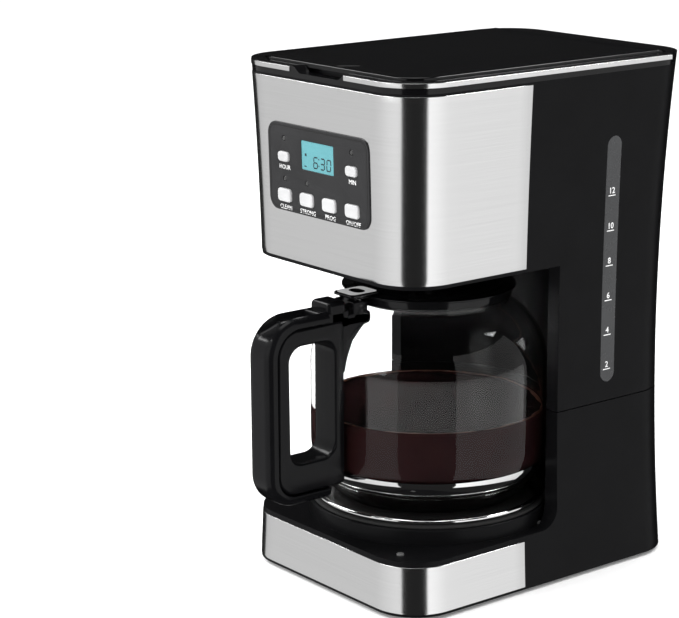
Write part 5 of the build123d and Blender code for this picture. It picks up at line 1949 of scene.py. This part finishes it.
@dataclass
class Studio:
    """The camera, the floor and the lights."""

    eye: tuple[float, float, float] = (1.0393, -0.8907, 0.5086)
    aim: tuple[float, float, float] = (-0.0140, -0.0681, 0.1741)
    roll: float = -0.38
    lens: float = 118.1
    sensor: float = 36.0
    surround: tuple[float, float] = (1.02, 0.015)
    card_radius: float = 1.3
    card_heights: tuple[float, float] = (-900.0, 1100.0)

    def build(self) -> None:
        """Sets up the whole studio."""
        self.camera()
        self.floor()
        self.world()
        for lamp in (("key", (-0.9, -1.5, 2.0), (0, 0, 0.15), (1.1, 1.1), 24),
                     ("rim", (0.5, 1.35, 1.9), (0, 0, 0.3), (1.0, 0.5), 16),
                     ("left", (-1.7, -0.5, 1.6), (0, 0, 0.3), (0.5, 1.0), 14),
                     ("fill", (-0.1, -1.6, 0.5), (0, 0, 0.2), (0.7, 0.5), 7),
                     ("over", (-0.2, 0.0, 2.4), (0, 0, 0), (1.6, 1.6), 22)):
            self.lamp(*lamp)
        self.card("left_card", (-76.0, 21.0), (0.52, 0.80))
        self.card("right_card", (75.0, 165.0), (1.08, 0.62))

    def camera(self) -> None:
        """Places the camera."""
        data = bpy.data.cameras.new("camera")
        data.lens, data.sensor_width = self.lens, self.sensor
        camera = linked(data, "camera")
        back = (Vector(self.eye) - Vector(self.aim)).normalized()
        turn = back.to_track_quat("Z", "Y").to_matrix().to_4x4()
        roll = Matrix.Rotation(math.radians(self.roll), 4, "Z")
        camera.matrix_world = Matrix.Translation(self.eye) @ turn @ roll
        bpy.context.scene.camera = camera

    def floor(self) -> None:
        """Lays the pale floor."""
        wide = 9000.0
        corners = np.array([[[-wide, -wide, 0], [wide, -wide, 0]], [[-wide, wide, 0], [wide, wide, 0]]])
        floor = Surface().grid(corners).build("floor")
        if floor.data.polygons[0].normal.z < 0:
            floor.data.flip_normals()
        nodes = Nodes("floor_pale")
        cloud = nodes.noise(1.5, 2.0)
        nodes.link(nodes.shades(cloud, (0.92, 0.92, 0.92), (0.94, 0.94, 0.94)), "Base Color")
        nodes.set(Roughness=0.8, Specular_IOR_Level=0.1, Emission_Color=(1, 1, 1, 1),
                  Emission_Strength=0.1)
        floor.data.materials.append(nodes.material)
        floor.visible_glossy = False

    def world(self) -> None:
        """Sets a white surround, nearly dark in reflections, where the lights and cards show instead."""
        world = bpy.data.worlds.new("surround")
        world.use_nodes = True
        tree = world.node_tree
        path = tree.nodes.new("ShaderNodeLightPath")
        level = tree.nodes.new("ShaderNodeMapRange")
        level.inputs["To Min"].default_value, level.inputs["To Max"].default_value = self.surround
        tree.links.new(path.outputs["Is Glossy Ray"], level.inputs["Value"])
        tree.links.new(level.outputs["Result"], tree.nodes["Background"].inputs["Strength"])
        tree.nodes["Background"].inputs["Color"].default_value = (1, 1, 1, 1)
        bpy.context.scene.world = world
        bpy.context.scene.view_settings.view_transform = "Standard"

    def lamp(self, name: str, place: Sequence[float], aim: Sequence[float], size: tuple[float, float],
             power: float) -> None:
        """Adds one soft light.

        Args:
            name: its name.
            place: where it stands, in metres.
            aim: the point it faces.
            size: its width and height.
            power: its power in watts.
        """
        data = bpy.data.lights.new(name, "AREA")
        data.shape = "RECTANGLE"
        data.size, data.size_y = size
        data.energy = power
        lamp = linked(data, name)
        back = Vector(place) - Vector(aim)
        lamp.matrix_world = Matrix.Translation(place) @ back.to_track_quat("Z", "Y").to_matrix().to_4x4()

    def card(self, name: str, span: tuple[float, float], glow: tuple[float, float]) -> None:
        """Stands a curved bright card that only shows in reflections.

        Args:
            name: its name.
            span: the directions it covers, in degrees from -Y towards +X.
            glow: its brightness at the first and the last direction.
        """
        turn = np.radians(np.linspace(*span, 24))
        ring = np.column_stack([self.card_radius * np.sin(turn), -self.card_radius * np.cos(turn)]) / MM
        rows = [np.column_stack([ring, np.full(24, height)]) for height in self.card_heights]
        card = Surface().grid(np.array(rows)).build(name)
        shade = card.data.attributes.new("glow", "FLOAT", "POINT")
        place = np.empty(3 * len(card.data.vertices))
        card.data.vertices.foreach_get("co", place)
        x, y = place.reshape(-1, 3)[:, 0], place.reshape(-1, 3)[:, 1]
        share = (np.degrees(np.arctan2(x, -y)) % 360 - span[0] % 360 + 180) % 360 - 180
        share = np.clip(share / (span[1] - span[0]), 0, 1)
        shade.data.foreach_set("value", (glow[0] + (glow[1] - glow[0]) * share).astype(np.float32))
        nodes = Nodes(name).set(Base_Color=(0, 0, 0, 1), Roughness=1.0, Emission_Color=(1, 1, 1, 1))
        read = nodes.tree.nodes.new("ShaderNodeAttribute")
        read.attribute_name = "glow"
        nodes.link(read.outputs["Fac"], "Emission Strength")
        card.data.materials.append(nodes.material)
        card.visible_camera = card.visible_diffuse = False
        card.visible_shadow = card.visible_transmission = False


def dress_frame(frame: dict, finishes: Finishes) -> None:
    """Gives every node of the frame the finish of its slot, and the handle's pin a black one.

    Args:
        frame: the loaded frame.
        finishes: the finishes.
    """
    slots = {part["node"]: part["material_slot"] for part in frame["record"]["subparts"]}
    for name, node in frame["nodes"].items():
        finishes.dress(node, "gloss_black" if name == "carafe_lid_pin" else slots[name])


def main() -> None:
    """Builds the looks, sub-assembly by sub-assembly."""
    logging.basicConfig(level=logging.INFO, format="%(message)s")
    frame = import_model()
    Studio().build()
    finishes = Finishes()
    dress_frame(frame, finishes)
    form = Hourglass()
    for assembly in (Casing(finishes, form), Crown(finishes, form), Panel(finishes), Gauge(finishes, form),
                     Hotplate(finishes), Carafe(finishes), Handle(finishes)):
        LOG.info("-- %s", type(assembly).__name__)
        assembly.build()


if __name__ == "__main__":
    main()
